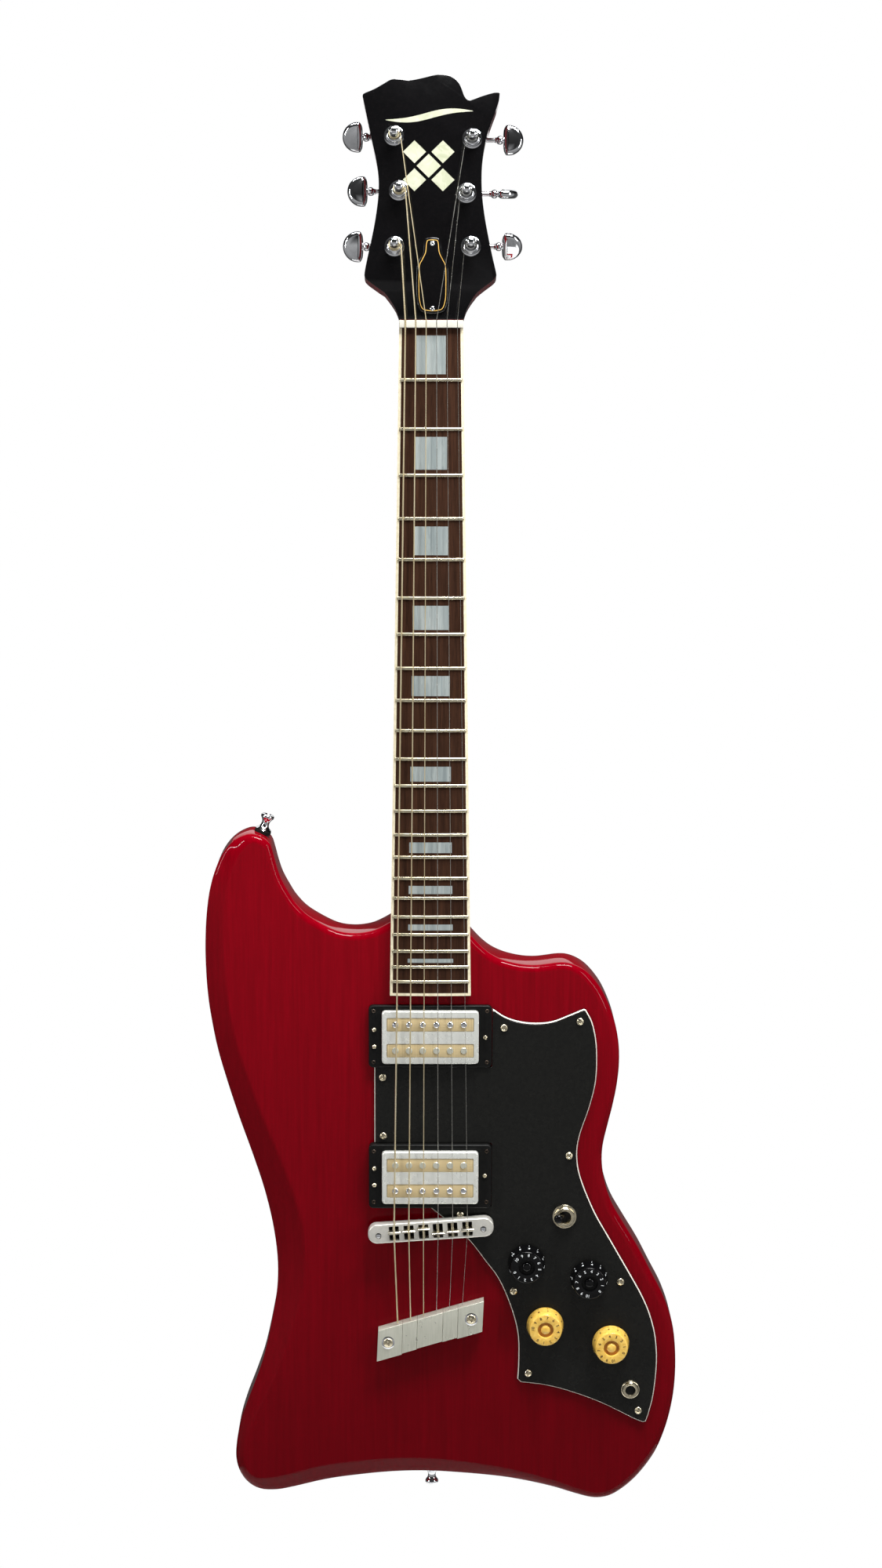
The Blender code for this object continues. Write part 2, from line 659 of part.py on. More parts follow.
# ---- pickguard ------------------------------------------------------------------------------
def guard_outline():
    """Outer edge, then the straight steps round the two pickup rings."""
    clear = GAP
    neck_low = RING_NECK["d"] + RING_NECK["half_d"] + clear
    bridge_high = RING_BRIDGE["d"] - RING_BRIDGE["half_d"] - clear
    bridge_low = RING_BRIDGE["d"] + RING_BRIDGE["half_d"] + clear
    right = RING_NECK["half_x"] + clear
    inner = ((right, bridge_low), (right, bridge_high), (-39.6, bridge_high), (-39.6, neck_low),
             (right, neck_low))
    outer = [(max(x, right) if d < 480 else x, d) for x, d in GUARD_EDGE_OUTER]
    outer[-1] = (outer[-1][0], bridge_low)
    return down_to_up(tuple(outer) + inner)


def make_guard():
    outline = guard_outline()
    guard = add_object("pickguard", prism(outline, GAP, GUARD_TOP), BODY, "black_plastic")
    holes = []
    spots = [(spot, 4.0) for _, spot, _ in KNOBS]
    spots += [(SWITCH_AT, 6.2), (JACK_AT, 5.2), (bridge_post_spots()[1], 3.4)]
    for (x, d), radius in spots:
        hole = turned(((0, -4), (radius, -4), (radius, 6), (0, 6)), 12)
        holes.append(moved(hole, shift(x, -d)))
    cut(guard, joined(*holes), BODY, "holes")


# ---- pickups --------------------------------------------------------------------------------
def make_pickup(side, ring):
    place = shift(0, -ring["d"])
    outer_low = rounded_rectangle(ring["half_x"], ring["half_d"], 3.0)
    outer_high = rounded_rectangle(ring["half_x"] - 0.6, ring["half_d"] - 0.6, 2.6)
    inner = rounded_rectangle(COVER_HALF_X + GAP, COVER_HALF_D + GAP, 2.4)
    frame = ring_solid([at_height(outer_low, GAP), at_height(outer_low, ring["high"] - 1.0),
                        at_height(outer_high, ring["high"]), at_height(inner, ring["high"]),
                        at_height(inner, GAP)])
    add_object("pickup_ring_" + side, moved(frame, place), BODY, "black_plastic")

    top = ring["cover_high"]
    skin = rounded_rectangle(COVER_HALF_X, COVER_HALF_D, 2.2)
    shoulder = rounded_rectangle(COVER_HALF_X - 0.8, COVER_HALF_D - 0.8, 1.6)
    hollow = rounded_rectangle(COVER_HALF_X - COVER_WALL, COVER_HALF_D - COVER_WALL, 1.5)
    cover = loft([at_height(skin, COVER_BOTTOM), at_height(skin, top - 0.8), at_height(shoulder, top)])
    made = add_object("pickup_cover_" + side, moved(cover, place), BODY, "chrome")
    cut(made, moved(prism(hollow, COVER_BOTTOM - 2.0, top - COVER_WALL), place), BODY, "hollow")
    windows = [moved(prism(rounded_rectangle(INSERT_HALF_X, INSERT_HALF_D, 1.2, 2),
                           top - 3.0, top + 3.0), shift(0, sign * INSERT_OFF)) for sign in (-1, 1)]
    cut(made, moved(joined(*windows), place), BODY, "windows")

    block_half_x = COVER_HALF_X - COVER_WALL - GAP
    block_half_d = COVER_HALF_D - COVER_WALL - GAP
    block = prism(rounded_rectangle(block_half_x, block_half_d, 1.2, 1), PICKUP_LOW,
                  top - COVER_WALL - GAP)
    coils = add_object("pickup_coils_" + side, moved(block, place), BODY, "cream_insert")
    pads = [moved(prism(rounded_rectangle(INSERT_HALF_X - GAP, INSERT_HALF_D - GAP, 0.9, 2),
                        top - 4.0, top - 0.1), shift(0, sign * INSERT_OFF)) for sign in (-1, 1)]
    fuse(coils, moved(joined(*pads), place), BODY, "pads")
    poles = []
    pole = turned(((0, top - 2), (POLE_RADIUS, top - 2), (POLE_RADIUS, top + 0.4), (0, top + 0.6)), 8)
    for sign in (-1, 1):
        for k in range(6):
            poles.append(moved(pole, shift((k - 2.5) * POLE_PITCH, sign * INSERT_OFF)))
    fuse(coils, moved(joined(*poles), place), BODY, "poles")


# ---- bridge and string anchor ---------------------------------------------------------------
def bridge_place():
    x, d = BRIDGE_CENTRE
    return shift(x, -d) @ turn(BRIDGE_SLANT, "Z")


def bridge_post_spots():
    """Bass and treble post centres as x, d."""
    spots = []
    for sign in (-1, 1):
        here = bridge_place() @ Vector((sign * BRIDGE_POST_HALF, BRIDGE_POST_U, 0))
        spots.append((here.x, -here.y))
    return spots


def saddle_windows():
    """Centre of each window along the bridge, in bridge coordinates."""
    inverse = bridge_place().inverted()
    return [(inverse @ Vector((x, -d, 0))).x for x, d in zip(SADDLE_X, SADDLE_D)]


def make_bridge():
    place = bridge_place()
    low = rounded_rectangle(BRIDGE_LONG / 2, BRIDGE_WIDE / 2, 6.6, 4)
    high = rounded_rectangle(BRIDGE_LONG / 2 - 1.2, BRIDGE_WIDE / 2 - 1.2, 5.6, 4)
    shape = loft([at_height(low, BRIDGE_LOW), at_height(low, BRIDGE_HIGH - 1.4),
                  at_height(high, BRIDGE_HIGH)])
    frame = add_object("bridge_frame", moved(shape, place), BODY, "chrome")
    tools = []
    for centre in saddle_windows():
        window = rounded_rectangle(WINDOW_WIDE / 2, WINDOW_LONG / 2, 0.8, 1)
        tools.append(moved(prism(window, BRIDGE_LOW - 3, BRIDGE_HIGH + 3), shift(centre, 0)))
    for sign in (-1, 1):
        hole = turned(((0, BRIDGE_LOW - 3), (BRIDGE_POST_HOLE, BRIDGE_LOW - 3),
                       (BRIDGE_POST_HOLE, BRIDGE_HIGH + 3), (0, BRIDGE_HIGH + 3)), 14)
        tools.append(moved(hole, shift(sign * BRIDGE_POST_HALF, BRIDGE_POST_U)))
    cut(frame, moved(joined(*tools), place), BODY, "windows")
    post = ((0, -16), (2.4, -16), (2.4, GUARD_TOP + GAP), (6.6, GUARD_TOP + GAP),
            (6.6, GUARD_TOP + 2.2), (2.4, GUARD_TOP + 2.2), (2.4, 12.6), (1.9, 13.1), (0, 13.1))
    for label, spot in zip(("bass", "treble"), bridge_post_spots()):
        add_object("bridge_post_" + label, moved(turned(post, 16), shift(spot[0], -spot[1])), BODY,
                   "chrome", pivot=(spot[0], -spot[1], 0))


def saddle_string_height(index):
    return SADDLE_STRING_H - camber(SADDLE_X[index])


def make_saddles():
    """Wedge-topped blocks, each free to slide along the strings inside its window."""
    place = bridge_place()
    inverse = place.inverted()
    for index, name in enumerate(STRING_NAMES):
        spot = inverse @ Vector((SADDLE_X[index], -SADDLE_D[index], 0))
        crest = saddle_string_height(index) - STRING_RADIUS[index] - GAP
        floor = BRIDGE_LOW + 1.0
        half = SADDLE_LONG / 2
        side = [(-half, floor), (half, floor), (half, crest - 2.6), (0.5, crest), (-0.5, crest),
                (-half, crest - 2.6)]
        rings = [[(x, u, h) for u, h in side] for x in (-SADDLE_WIDE / 2, SADDLE_WIDE / 2)]
        shape = moved(loft(rings), place @ shift(spot.x, spot.y))
        add_object("saddle_" + name, shape, BODY, "chrome",
                   pivot=tuple(place @ Vector((spot.x, spot.y, crest))))


def make_anchor():
    corners = down_to_up(ANCHOR_EDGE)
    inner = inset_loop(corners, [0.8] * 4)
    shape = loft([at_height(corners, GAP), at_height(corners, ANCHOR_HIGH - 0.8),
                  at_height(inner, ANCHOR_HIGH)])
    add_object("string_anchor", shape, BODY, "nickel")


# ---- controls -------------------------------------------------------------------------------
def make_pots_and_knobs():
    pot = ((0, -11.5), (12.0, -11.5), (12.0, -GAP), (3.6, -GAP), (3.6, GUARD_TOP + GAP),
           (6.2, GUARD_TOP + GAP), (6.2, GUARD_TOP + 2.4), (3.6, GUARD_TOP + 2.4),
           (3.6, GUARD_TOP + 4.4), (3.3, GUARD_TOP + 4.4), (3.3, -9.0), (0, -9.0))
    knob = ((0, -8.5), (3.0, -8.5), (3.0, 9.0), (9.5, 9.0), (10.0, 3.9), (13.2, 3.9), (13.2, 5.2),
            (11.5, 15.0), (10.9, 15.6), (5.6, 15.7), (5.2, 13.4), (3.3, 13.4), (2.8, 15.2), (0, 15.6))
    for name, (x, d), colour in KNOBS:
        place = shift(x, -d)
        add_object("pot_" + name, moved(turned(pot, 12), place), BODY, "steel", pivot=(x, -d, 0))
        add_object("knob_" + name, moved(turned(knob, 16), place), BODY, colour + "_plastic",
                   pivot=(x, -d, 0))


def make_switch():
    x, d = SWITCH_AT
    place = shift(x, -d)
    bush = ((0, -22.0), (7.0, -22.0), (7.0, -GAP), (5.8, -GAP), (5.8, GUARD_TOP + GAP),
            (8.75, GUARD_TOP + GAP), (8.75, GUARD_TOP + 1.2), (7.2, GUARD_TOP + 1.2),
            (7.2, GUARD_TOP + 3.4), (4.6, GUARD_TOP + 3.4), (3.6, 0.0), (3.6, -5.0), (0, -5.0))
    add_object("switch_frame", moved(turned(bush, 16), place), BODY, "chrome", pivot=(x, -d, 0))
    lever = ((0, -3.6), (1.5, -3.2), (2.9, -1.0), (2.6, 0.8), (1.3, 2.0), (1.2, 9.0), (1.9, 9.2),
             (2.3, 12.0), (3.3, 19.0), (3.0, 20.6), (1.8, 21.6), (0, 21.8))
    lean = Vector((math.cos(math.radians(SWITCH_LEAN_DIRECTION)),
                   math.sin(math.radians(SWITCH_LEAN_DIRECTION)), 0))
    hinge = Vector((0, 0, 1)).cross(lean)
    tilt = Matrix.Rotation(math.radians(SWITCH_LEAN), 4, hinge)
    shape = moved(turned(lever, 8), place @ tilt)
    add_object("switch_lever", shape, BODY, "black_plastic", pivot=(x, -d, 0))


def make_jack():
    x, d = JACK_AT
    profile = ((0, -20.0), (7.4, -20.0), (7.4, -GAP), (4.9, -GAP), (4.9, GUARD_TOP + GAP),
               (6.7, GUARD_TOP + GAP), (6.7, GUARD_TOP + 1.1), (5.8, GUARD_TOP + 1.1),
               (5.8, GUARD_TOP + 3.0), (3.4, GUARD_TOP + 3.0), (3.4, -18.5), (0, -18.5))
    add_object("output_jack", moved(turned(profile, 14), shift(x, -d)), BODY, "nickel",
               pivot=(x, -d, 0))


# ---- tuners ---------------------------------------------------------------------------------
def button_outline():
    """Half-moon, flat side toward the headstock; x is outward, y across."""
    points = [(-3.6, -6.5), (-3.9, 0.0), (-3.6, 6.5), (-2.6, 9.2)]
    for step in range(0, 11):
        angle = math.radians(98 - 19.6 * step)
        points.append((BUTTON_REACH * math.cos(angle), BUTTON_LONG_HALF * math.sin(angle)))
    points.append((-2.6, -9.2))
    return points


def make_tuner(name, x, u, side, button_turn):
    place = shift(x, u)
    case = rounded_rectangle(7.5, 8.2, 2.5, 2)
    case_high = -HEAD_THICK - GAP
    shape = loft([at_height([(p[0] * 0.93, p[1] * 0.93) for p in case], -27.2),
                  at_height(case, -26.2), at_height(case, case_high)])
    housing = add_object("tuner_housing_" + name, moved(shape, place @ shift(0, 1.5)), HEAD, "chrome",
                         pivot=(x, u, 0))
    barrel = turned(((0, -17), (4.8, -17), (4.8, GAP), (7.0, GAP), (7.0, 1.1), (5.4, 1.5),
                     (5.4, 3.4), (4.6, 4.0), (0, 4.0)), 12)
    fuse(housing, moved(barrel, place), HEAD, "barrel")
    bore = turned(((0, -25.2), (4.0, -25.2), (4.0, -20.2), (3.3, -20.2), (3.3, 6), (0, 6)), 12)
    cut(housing, moved(bore, place), HEAD, "bore")
    along = turn(90 * side, "Y")
    channel = turned(((0, -5.6), (1.95, -5.6), (1.95, 12), (0, 12)), 8)
    cut(housing, moved(channel, place @ shift(0, WORM_OFF, WORM_H) @ along), HEAD, "worm_channel")

    post = ((0, -24.8), (3.6, -24.8), (3.6, -20.6), (POST_RADIUS, -20.6), (POST_RADIUS, 5.6),
            (3.5, 5.8), (3.6, 7.6), (3.4, 9.4), (2.6, 9.6), (2.6, 11.6), (POST_RADIUS, 12.2),
            (POST_RADIUS, 14.2), (2.0, 15.4), (0, 15.8))
    add_object("tuner_post_" + name, moved(turned(post, 10), place), HEAD, "chrome", pivot=(x, u, 0))

    worm_place = place @ shift(0, WORM_OFF, WORM_H)
    shaft = turned(((0, -5.0), (1.65, -5.0), (1.65, 17.5), (2.8, 18.2), (3.1, 19.6), (2.8, 21.0),
                    (1.9, 21.6), (1.9, BUTTON_OUT + 2), (0, BUTTON_OUT + 2)), 8)
    button = add_object("tuner_button_" + name, moved(shaft, worm_place @ along), HEAD, "chrome",
                        pivot=(x, u + WORM_OFF, WORM_H))
    outline = button_outline()
    layers = []
    for h, share in ((-3.4, 0.72), (-2.7, 0.92), (-0.9, 1.0), (0.9, 1.0), (2.7, 0.92), (3.4, 0.72)):
        layers.append([(px * share + (1 - share) * 2.5, py * share, h) for px, py in outline])
    flip = turn(180, "Z") if side < 0 else Matrix.Identity(4)
    wing = moved(loft(layers), worm_place @ shift(side * BUTTON_OUT, 0) @ turn(button_turn, "X") @ flip)
    fuse(button, wing, HEAD, "wing")


# ---- strings --------------------------------------------------------------------------------
def anchor_edge_d(x):
    (x0, d0), (x1, d1) = ANCHOR_EDGE[0], ANCHOR_EDGE[1]
    return d0 + (d1 - d0) * (x - x0) / (x1 - x0)


def make_string(index):
    radius = STRING_RADIUS[index]
    to_mm = Matrix.Scale(1 / MM, 4)
    start_x = ANCHOR_X[index]
    start_d = anchor_edge_d(start_x) - GAP - 0.3 - radius
    start = to_mm @ BODY @ Vector((start_x, -start_d, ANCHOR_STRING_H))
    saddle = to_mm @ BODY @ Vector((SADDLE_X[index], -SADDLE_D[index], saddle_string_height(index)))
    nut_x = STRING_AT_NUT[index]
    nut_h = STRING_NUT_H - camber(nut_x)
    nut_low = to_mm @ NECK @ Vector((nut_x, 0, nut_h))
    nut_high = to_mm @ NECK @ Vector((nut_x, NUT_THICK, nut_h))
    _, post_x, post_u, side, _ = TUNERS[index]
    reach = 3.6 + radius + GAP
    end = to_mm @ HEAD @ Vector((post_x - side * reach, post_u, 7.6))
    path = [start, saddle, nut_low, nut_high, end]
    add_object("string_" + STRING_NAMES[index], tube(path, radius, 6), Matrix.Scale(MM, 4),
               "bronze_wire" if index < 3 else "steel")


# ---- assembly -------------------------------------------------------------------------------
def build():
    start_empty_file()
    make_body()
    make_neck()
    add_object("fretboard", fretboard_solid(), NECK, "rosewood")
    add_object("nut", nut_solid(), NECK, "ivory_plastic")
    make_truss_parts()
    make_strap_button("strap_button_upper", *UPPER_STRAP)
    make_strap_button("strap_button_lower", *LOWER_STRAP)
    make_guard()
    make_pickup("neck", RING_NECK)
    make_pickup("bridge", RING_BRIDGE)
    make_bridge()
    make_saddles()
    make_anchor()
    make_pots_and_knobs()
    make_switch()
    make_jack()
    for tuner in TUNERS:
        make_tuner(*tuner)
    for index in range(len(STRING_NAMES)):
        make_string(index)


build()
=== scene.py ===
"""Visual model of a solid-body electric guitar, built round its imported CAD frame.

Shapes are drawn in plane millimetres: x to the right, u up the guitar and h out of the face.
Distances called d run down the guitar from the nut, so u = -d.
"""
import json
import math

import bmesh
import bpy
import numpy as np
from mathutils import Matrix, Vector


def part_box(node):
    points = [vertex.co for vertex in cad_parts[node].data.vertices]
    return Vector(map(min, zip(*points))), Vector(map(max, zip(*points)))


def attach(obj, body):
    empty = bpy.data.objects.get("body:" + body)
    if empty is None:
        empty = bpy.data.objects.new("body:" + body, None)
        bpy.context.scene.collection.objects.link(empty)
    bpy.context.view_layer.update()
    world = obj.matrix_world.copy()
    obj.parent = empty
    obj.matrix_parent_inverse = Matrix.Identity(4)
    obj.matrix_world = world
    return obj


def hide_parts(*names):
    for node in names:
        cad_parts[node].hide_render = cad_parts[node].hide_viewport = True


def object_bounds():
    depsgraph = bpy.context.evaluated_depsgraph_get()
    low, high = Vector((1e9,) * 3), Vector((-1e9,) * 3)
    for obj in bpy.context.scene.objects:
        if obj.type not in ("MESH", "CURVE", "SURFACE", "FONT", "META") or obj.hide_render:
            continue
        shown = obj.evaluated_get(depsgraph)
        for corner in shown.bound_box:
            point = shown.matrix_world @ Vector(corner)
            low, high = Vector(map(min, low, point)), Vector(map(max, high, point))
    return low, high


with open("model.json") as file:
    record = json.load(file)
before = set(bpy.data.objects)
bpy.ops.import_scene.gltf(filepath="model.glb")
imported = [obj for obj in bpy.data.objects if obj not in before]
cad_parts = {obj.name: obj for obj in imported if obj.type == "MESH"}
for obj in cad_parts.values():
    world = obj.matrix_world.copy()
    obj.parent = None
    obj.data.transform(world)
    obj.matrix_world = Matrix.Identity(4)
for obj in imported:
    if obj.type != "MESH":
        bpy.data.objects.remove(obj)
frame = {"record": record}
START_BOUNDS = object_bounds()

MM = 0.001
# The visual body stands this far inside the CAD body, so that it never shows outside its box.
SKIN = 0.4
JOINTS = {joint["name"]: joint for joint in frame["record"]["behaviour"]["joints"]}


def node_box(node):
    """Lowest and highest corner of a CAD node in world millimetres."""
    low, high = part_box(node)
    return low / MM, high / MM


# ---- layout ----
SCALE_LENGTH = 628.65
NECK_ANGLE = 2.0
HEAD_ANGLE = 13.0
HEAD_FACE_Y = 1.9
HEAD_THICK = 15.0
VENEER = 0.6
BODY_TOP_Y = node_box("body")[0].y
BODY_THICK = node_box("body")[1].y - BODY_TOP_Y
BACK_ROUND = 4.0
NUT_WIDTH = 43.6
NUT_THICK = 5.0
BOARD_END = 462.3
BOARD_END_WIDTH = 56.6
BOARD_THICK = 5.5
BOARD_RADIUS = 305.0
BINDING_WIDE = 1.9
FRET_COUNT = 22
FRET_HALF = 1.15
FRET_HIGH = 1.1
FRET_SHORT = 1.0
NECK_TOP = -5.8
TONGUE_END = 461.8
INLAY_FRETS = (1, 3, 5, 7, 9, 12, 15, 17, 19, 21)

STRING_NAMES = ("low_e", "a", "d", "g", "b", "high_e")
STRING_RADIUS = (0.58, 0.46, 0.33, 0.22, 0.17, 0.13)
STRING_AT_NUT = (-17.6, -10.5, -3.4, 3.7, 10.8, 17.9)
STRING_NUT_H = 2.0
SADDLE_X = (-25.4, -15.0, -4.7, 5.7, 16.0, 26.4)
SADDLE_D = (631.4, 630.3, 628.6, 631.6, 630.4, 629.0)
SADDLE_STRING_H = 16.9
ANCHOR_X = (-23.0, -13.8, -4.6, 4.6, 13.8, 23.0)
ANCHOR_STRING_H = 7.5

BRIDGE_CENTRE = (0.5, 630.4)
BRIDGE_SLANT = 3.9
BRIDGE_LONG = 89.0
BRIDGE_WIDE = 14.0
BRIDGE_LOW = 5.4
BRIDGE_HIGH = 13.2
BRIDGE_POST_HALF = 37.1
ANCHOR_EDGE = ((-36.8, 705.0), (38.2, 682.9), (37.2, 705.6), (-38.0, 727.8))
ANCHOR_HIGH = 10.0
ANCHOR_SEAMS = (-19.4, -8.9, 9.3, 20.0)
ANCHOR_SCREWS = ((-29.7, 713.7), (29.3, 696.3))

RING_NECK = {"d": 491.8, "half_x": 43.2, "half_d": 22.3, "high": 4.6, "cover": 8.0, "screw_row": 1,
             "lift_screws": ((-39.4, 486.8), (-39.3, 498.9), (38.6, 492.2))}
RING_BRIDGE = {"d": 592.4, "half_x": 43.2, "half_d": 23.1, "high": 7.6, "cover": 11.4, "screw_row": -1,
               "lift_screws": ((-39.4, 586.4), (-39.3, 598.5), (38.6, 591.6))}
RING_SCREW_X = 39.8
RING_SCREW_D = 18.4
COVER_HALF_X = 34.0
COVER_HALF_D = 19.0
INSERT_HALF_X = 30.6
INSERT_HALF_D = 4.9
INSERT_OFF = 9.3
POLE_PITCH = 9.6
POLE_RADIUS = 2.3

GUARD_TOP = 2.8
GUARD_SCREWS = ((51.8, 485.8), (105.1, 481.2), (-33.5, 521.5), (-33.0, 564.1), (98.2, 578.3),
                (21.4, 621.3), (59.4, 677.8), (135.5, 670.9), (70.2, 738.7), (149.1, 766.5))
# Name, plastic and the clock angle of the dial's zero.
KNOBS = (("volume_neck", "black", 248.0), ("volume_bridge", "black", 128.0),
         ("tone_neck", "amber", 217.6), ("tone_bridge", "amber", 111.0))
SWITCH_LEAN = 17.0
SWITCH_LEAN_DIRECTION = 150.0
JACK_AT = (143.3, 750.7)
UPPER_STRAP = ((-117.8, 350.4), 18.0)
LOWER_STRAP = ((1.5, 816.0), 180.0)

# String, side of the headstock that its button is on, and the button's turn.
TUNERS = (("low_e", -1, 18.0), ("a", -1, 0.0), ("d", -1, 30.0),
          ("g", 1, 0.0), ("b", 1, 106.0), ("high_e", 1, 48.0))
WORM_OFF = 5.5
WORM_H = -22.75
BUTTON_OUT = 25.6

# Body edge: x, d and the width of the edge rounding or bevel there, clockwise from the neck's left.
BODY_EDGE = (
    (-8, 402.5, 5), (-20, 406.5, 5), (-27.8, 410.8, 5), (-35, 414.8, 5), (-42, 417.6, 5),
    (-51.7, 419, 5), (-61.8, 418.2, 5), (-71.2, 414.8, 5), (-85.6, 406.3, 5), (-94, 397.8, 5),
    (-99.4, 389.3, 5), (-104, 380.5, 5), (-107, 371.5, 5), (-109.2, 363, 5), (-111.8, 355.5, 5),
    (-117.5, 350.6, 5.5), (-125, 348.6, 6.5), (-132.4, 350.8, 8), (-139.5, 355.8, 10),
    (-145.6, 363.5, 11.5), (-150, 373, 12.5), (-153, 382, 13), (-155.6, 394, 13.5),
    (-157.4, 410, 14), (-158.2, 428, 14.5), (-158, 444, 15), (-157.1, 460, 15), (-155.1, 477, 15.3),
    (-150.4, 502.5, 16), (-143.4, 528, 17), (-135.3, 554, 18), (-126.6, 579.5, 19.5),
    (-118.5, 605.4, 21.5), (-112.6, 631, 23), (-109.4, 655, 22.5), (-109.3, 675, 20.5),
    (-112, 695, 18), (-118.5, 726, 14), (-125, 746, 12), (-132, 764.5, 10), (-137, 781, 8.5),
    (-139.5, 796, 7.5), (-139.5, 807, 7), (-136.6, 816.5, 7.5), (-131, 824.2, 8.5),
    (-122.5, 828.8, 10.5), (-110, 829.6, 12), (-97, 827.2, 12.5), (-76, 822.2, 13),
    (-55.5, 819, 13), (-27, 816, 12.5), (1, 815.4, 11.8), (29, 817.2, 10.5), (57.6, 820.7, 9),
    (86, 826.7, 7.4), (103, 831.7, 6.5), (116, 835, 6), (125.5, 834.8, 6), (134, 831.5, 6),
    (145, 823, 6), (155, 811.5, 6), (163.6, 797.6, 6), (170.2, 779.8, 6), (174.4, 761, 6),
    (176.2, 742, 6), (175.9, 722, 6), (173.4, 703, 6), (167, 683.6, 6), (158.1, 666, 6),
    (149, 648.3, 6), (138.5, 630.8, 6), (129.8, 615.5, 6), (124.6, 600.5, 6), (122.2, 586, 6),
    (122.6, 573, 6), (125.6, 559, 6), (129.3, 543.5, 6), (132.2, 528, 6), (133.6, 512, 6),
    (132.8, 496, 6), (129, 479, 6), (122.4, 463, 6), (115.6, 452.8, 6), (108.9, 445.9, 5.5),
    (102, 441.8, 5), (95.4, 439.9, 5), (88.7, 439.9, 5), (82, 440.8, 5), (75.4, 441.6, 5),
    (68.7, 441.6, 5), (62, 440.8, 5), (55.3, 439.3, 5), (48.6, 437, 5), (41.9, 433.4, 5),
    (35.1, 427.8, 5), (27, 419, 5), (18, 409.5, 5), (6, 403, 5),
)

# Headstock edge from the lower left shoulder, over the top, to the lower right shoulder: x, u.
HEAD_EDGE = (
    (-31.8, 24.2), (-37.5, 28.3), (-42.8, 32.2), (-45.2, 35.0), (-45.4, 38.5), (-43.4, 49),
    (-40.2, 64), (-37.6, 79), (-36.1, 93), (-36.2, 105), (-38.0, 117), (-40.8, 130),
    (-44.4, 147), (-47.2, 160.5), (-46.2, 162.4), (-39, 165.6), (-32.5, 169.4), (-27.4, 172.2),
    (-21.5, 172.3), (-15.1, 171.6), (-7.5, 172.9), (2.3, 175.3), (8.5, 175.6), (13.9, 174.2),
    (18.2, 170.6), (20.6, 166.0), (22.4, 161.0), (24.6, 158.4), (27.2, 157.9), (33.5, 160.2),
    (40, 162.3), (45.4, 163.4), (46.8, 162.6), (46.2, 157.5), (44.2, 151.0), (38.9, 136),
    (35.9, 122), (34.5, 109), (34.6, 94), (36.2, 79), (38.6, 65), (41.6, 50), (44.2, 38.5),
    (44.2, 35.6), (42.2, 33.0), (36.8, 28.9), (31.4, 24.6),
)
HEAD_CORNERS = (13, 32)
HEAD_CLEAR = 0.08
HEAD_THROAT = ((27.0, 18.0), (24.0, 12.0), (22.1, 5.8), (-21.9, 5.8), (-24.0, 12.0), (-27.3, 18.0))

# Pickguard edge: x, d, clockwise from the neck ring's upper right corner.
GUARD_EDGE = (
    (43.9, 472.0), (51.8, 477.4), (61.1, 480.8), (72.7, 482.3), (85.3, 481.2), (96.8, 476.8),
    (107.4, 472.3), (109.3, 472.8), (113.9, 481.9), (116.8, 494.9), (117.6, 509), (117.0, 523.7),
    (114.6, 536), (111.2, 548), (106.9, 560.5), (104.4, 572), (104.4, 583), (106.6, 594),
    (111.8, 608.2), (118.0, 622), (126.5, 637), (135, 652), (143.5, 667), (151.6, 682),
    (157.3, 696), (161.2, 712), (162.4, 731), (160.5, 753.7), (157.4, 768), (155, 775.6),
    (152.6, 776.2), (147, 774), (135.1, 767.8), (119.3, 760.2), (98.5, 752.6), (81.7, 748.3),
    (65, 746.2), (62.2, 743.6), (62.9, 730), (62.6, 712.3), (59.5, 697), (53.3, 679.5),
    (47.1, 667), (39.8, 657.2), (26.7, 640), (9.2, 624.4), (-1.6, 616.0),
)
GUARD_CORNERS = (6, 7, 29, 30, 36, 37)
GUARD_STEPS = 5

COVER_BELL = ((-3.5, 61.5), (-5.6, 58.5), (-6.3, 52), (-8.6, 47), (-10.6, 42), (-10.9, 28),
              (-10.4, 18), (-8.0, 11.5), (-3.0, 9.6))


# ---- planes and placement ----
def working_plane(tilt_degrees, origin):
    """Matrix from plane millimetres (x, u, h) to world metres for a plane tilted back."""
    tilt = math.radians(tilt_degrees)
    axes = (Vector((1, 0, 0)), Vector((0, math.sin(tilt), math.cos(tilt))),
            Vector((0, -math.cos(tilt), math.sin(tilt))))
    matrix = Matrix.Identity(4)
    for column, axis in enumerate(axes):
        for row in range(3):
            matrix[row][column] = axis[row] * MM
    matrix.translation = Vector(origin) * MM
    return matrix


BODY = working_plane(0, (0, BODY_TOP_Y, 0))
NECK = working_plane(NECK_ANGLE, (0, 0, 0))
HEAD = working_plane(HEAD_ANGLE, (0, HEAD_FACE_Y, 0))
WORLD = Matrix.Scale(MM, 4)
TO_MM = Matrix.Scale(1 / MM, 4)


def joint_spot(name, plane):
    """A joint's anchor in plane millimetres."""
    return plane.inverted() @ Vector(JOINTS[name]["pos_m"])


def shift(x, u, h=0.0):
    return Matrix.Translation((x, u, h))


def turn(degrees, axis):
    return Matrix.Rotation(math.radians(degrees), 4, axis)


def moved(shape, matrix):
    verts, faces = shape
    return [matrix @ Vector(v) for v in verts], faces


def joined(shapes):
    verts, faces = [], []
    for shape_verts, shape_faces in shapes:
        start = len(verts)
        verts += [Vector(v) for v in shape_verts]
        faces += [tuple(i + start for i in face) for face in shape_faces]
    return verts, faces


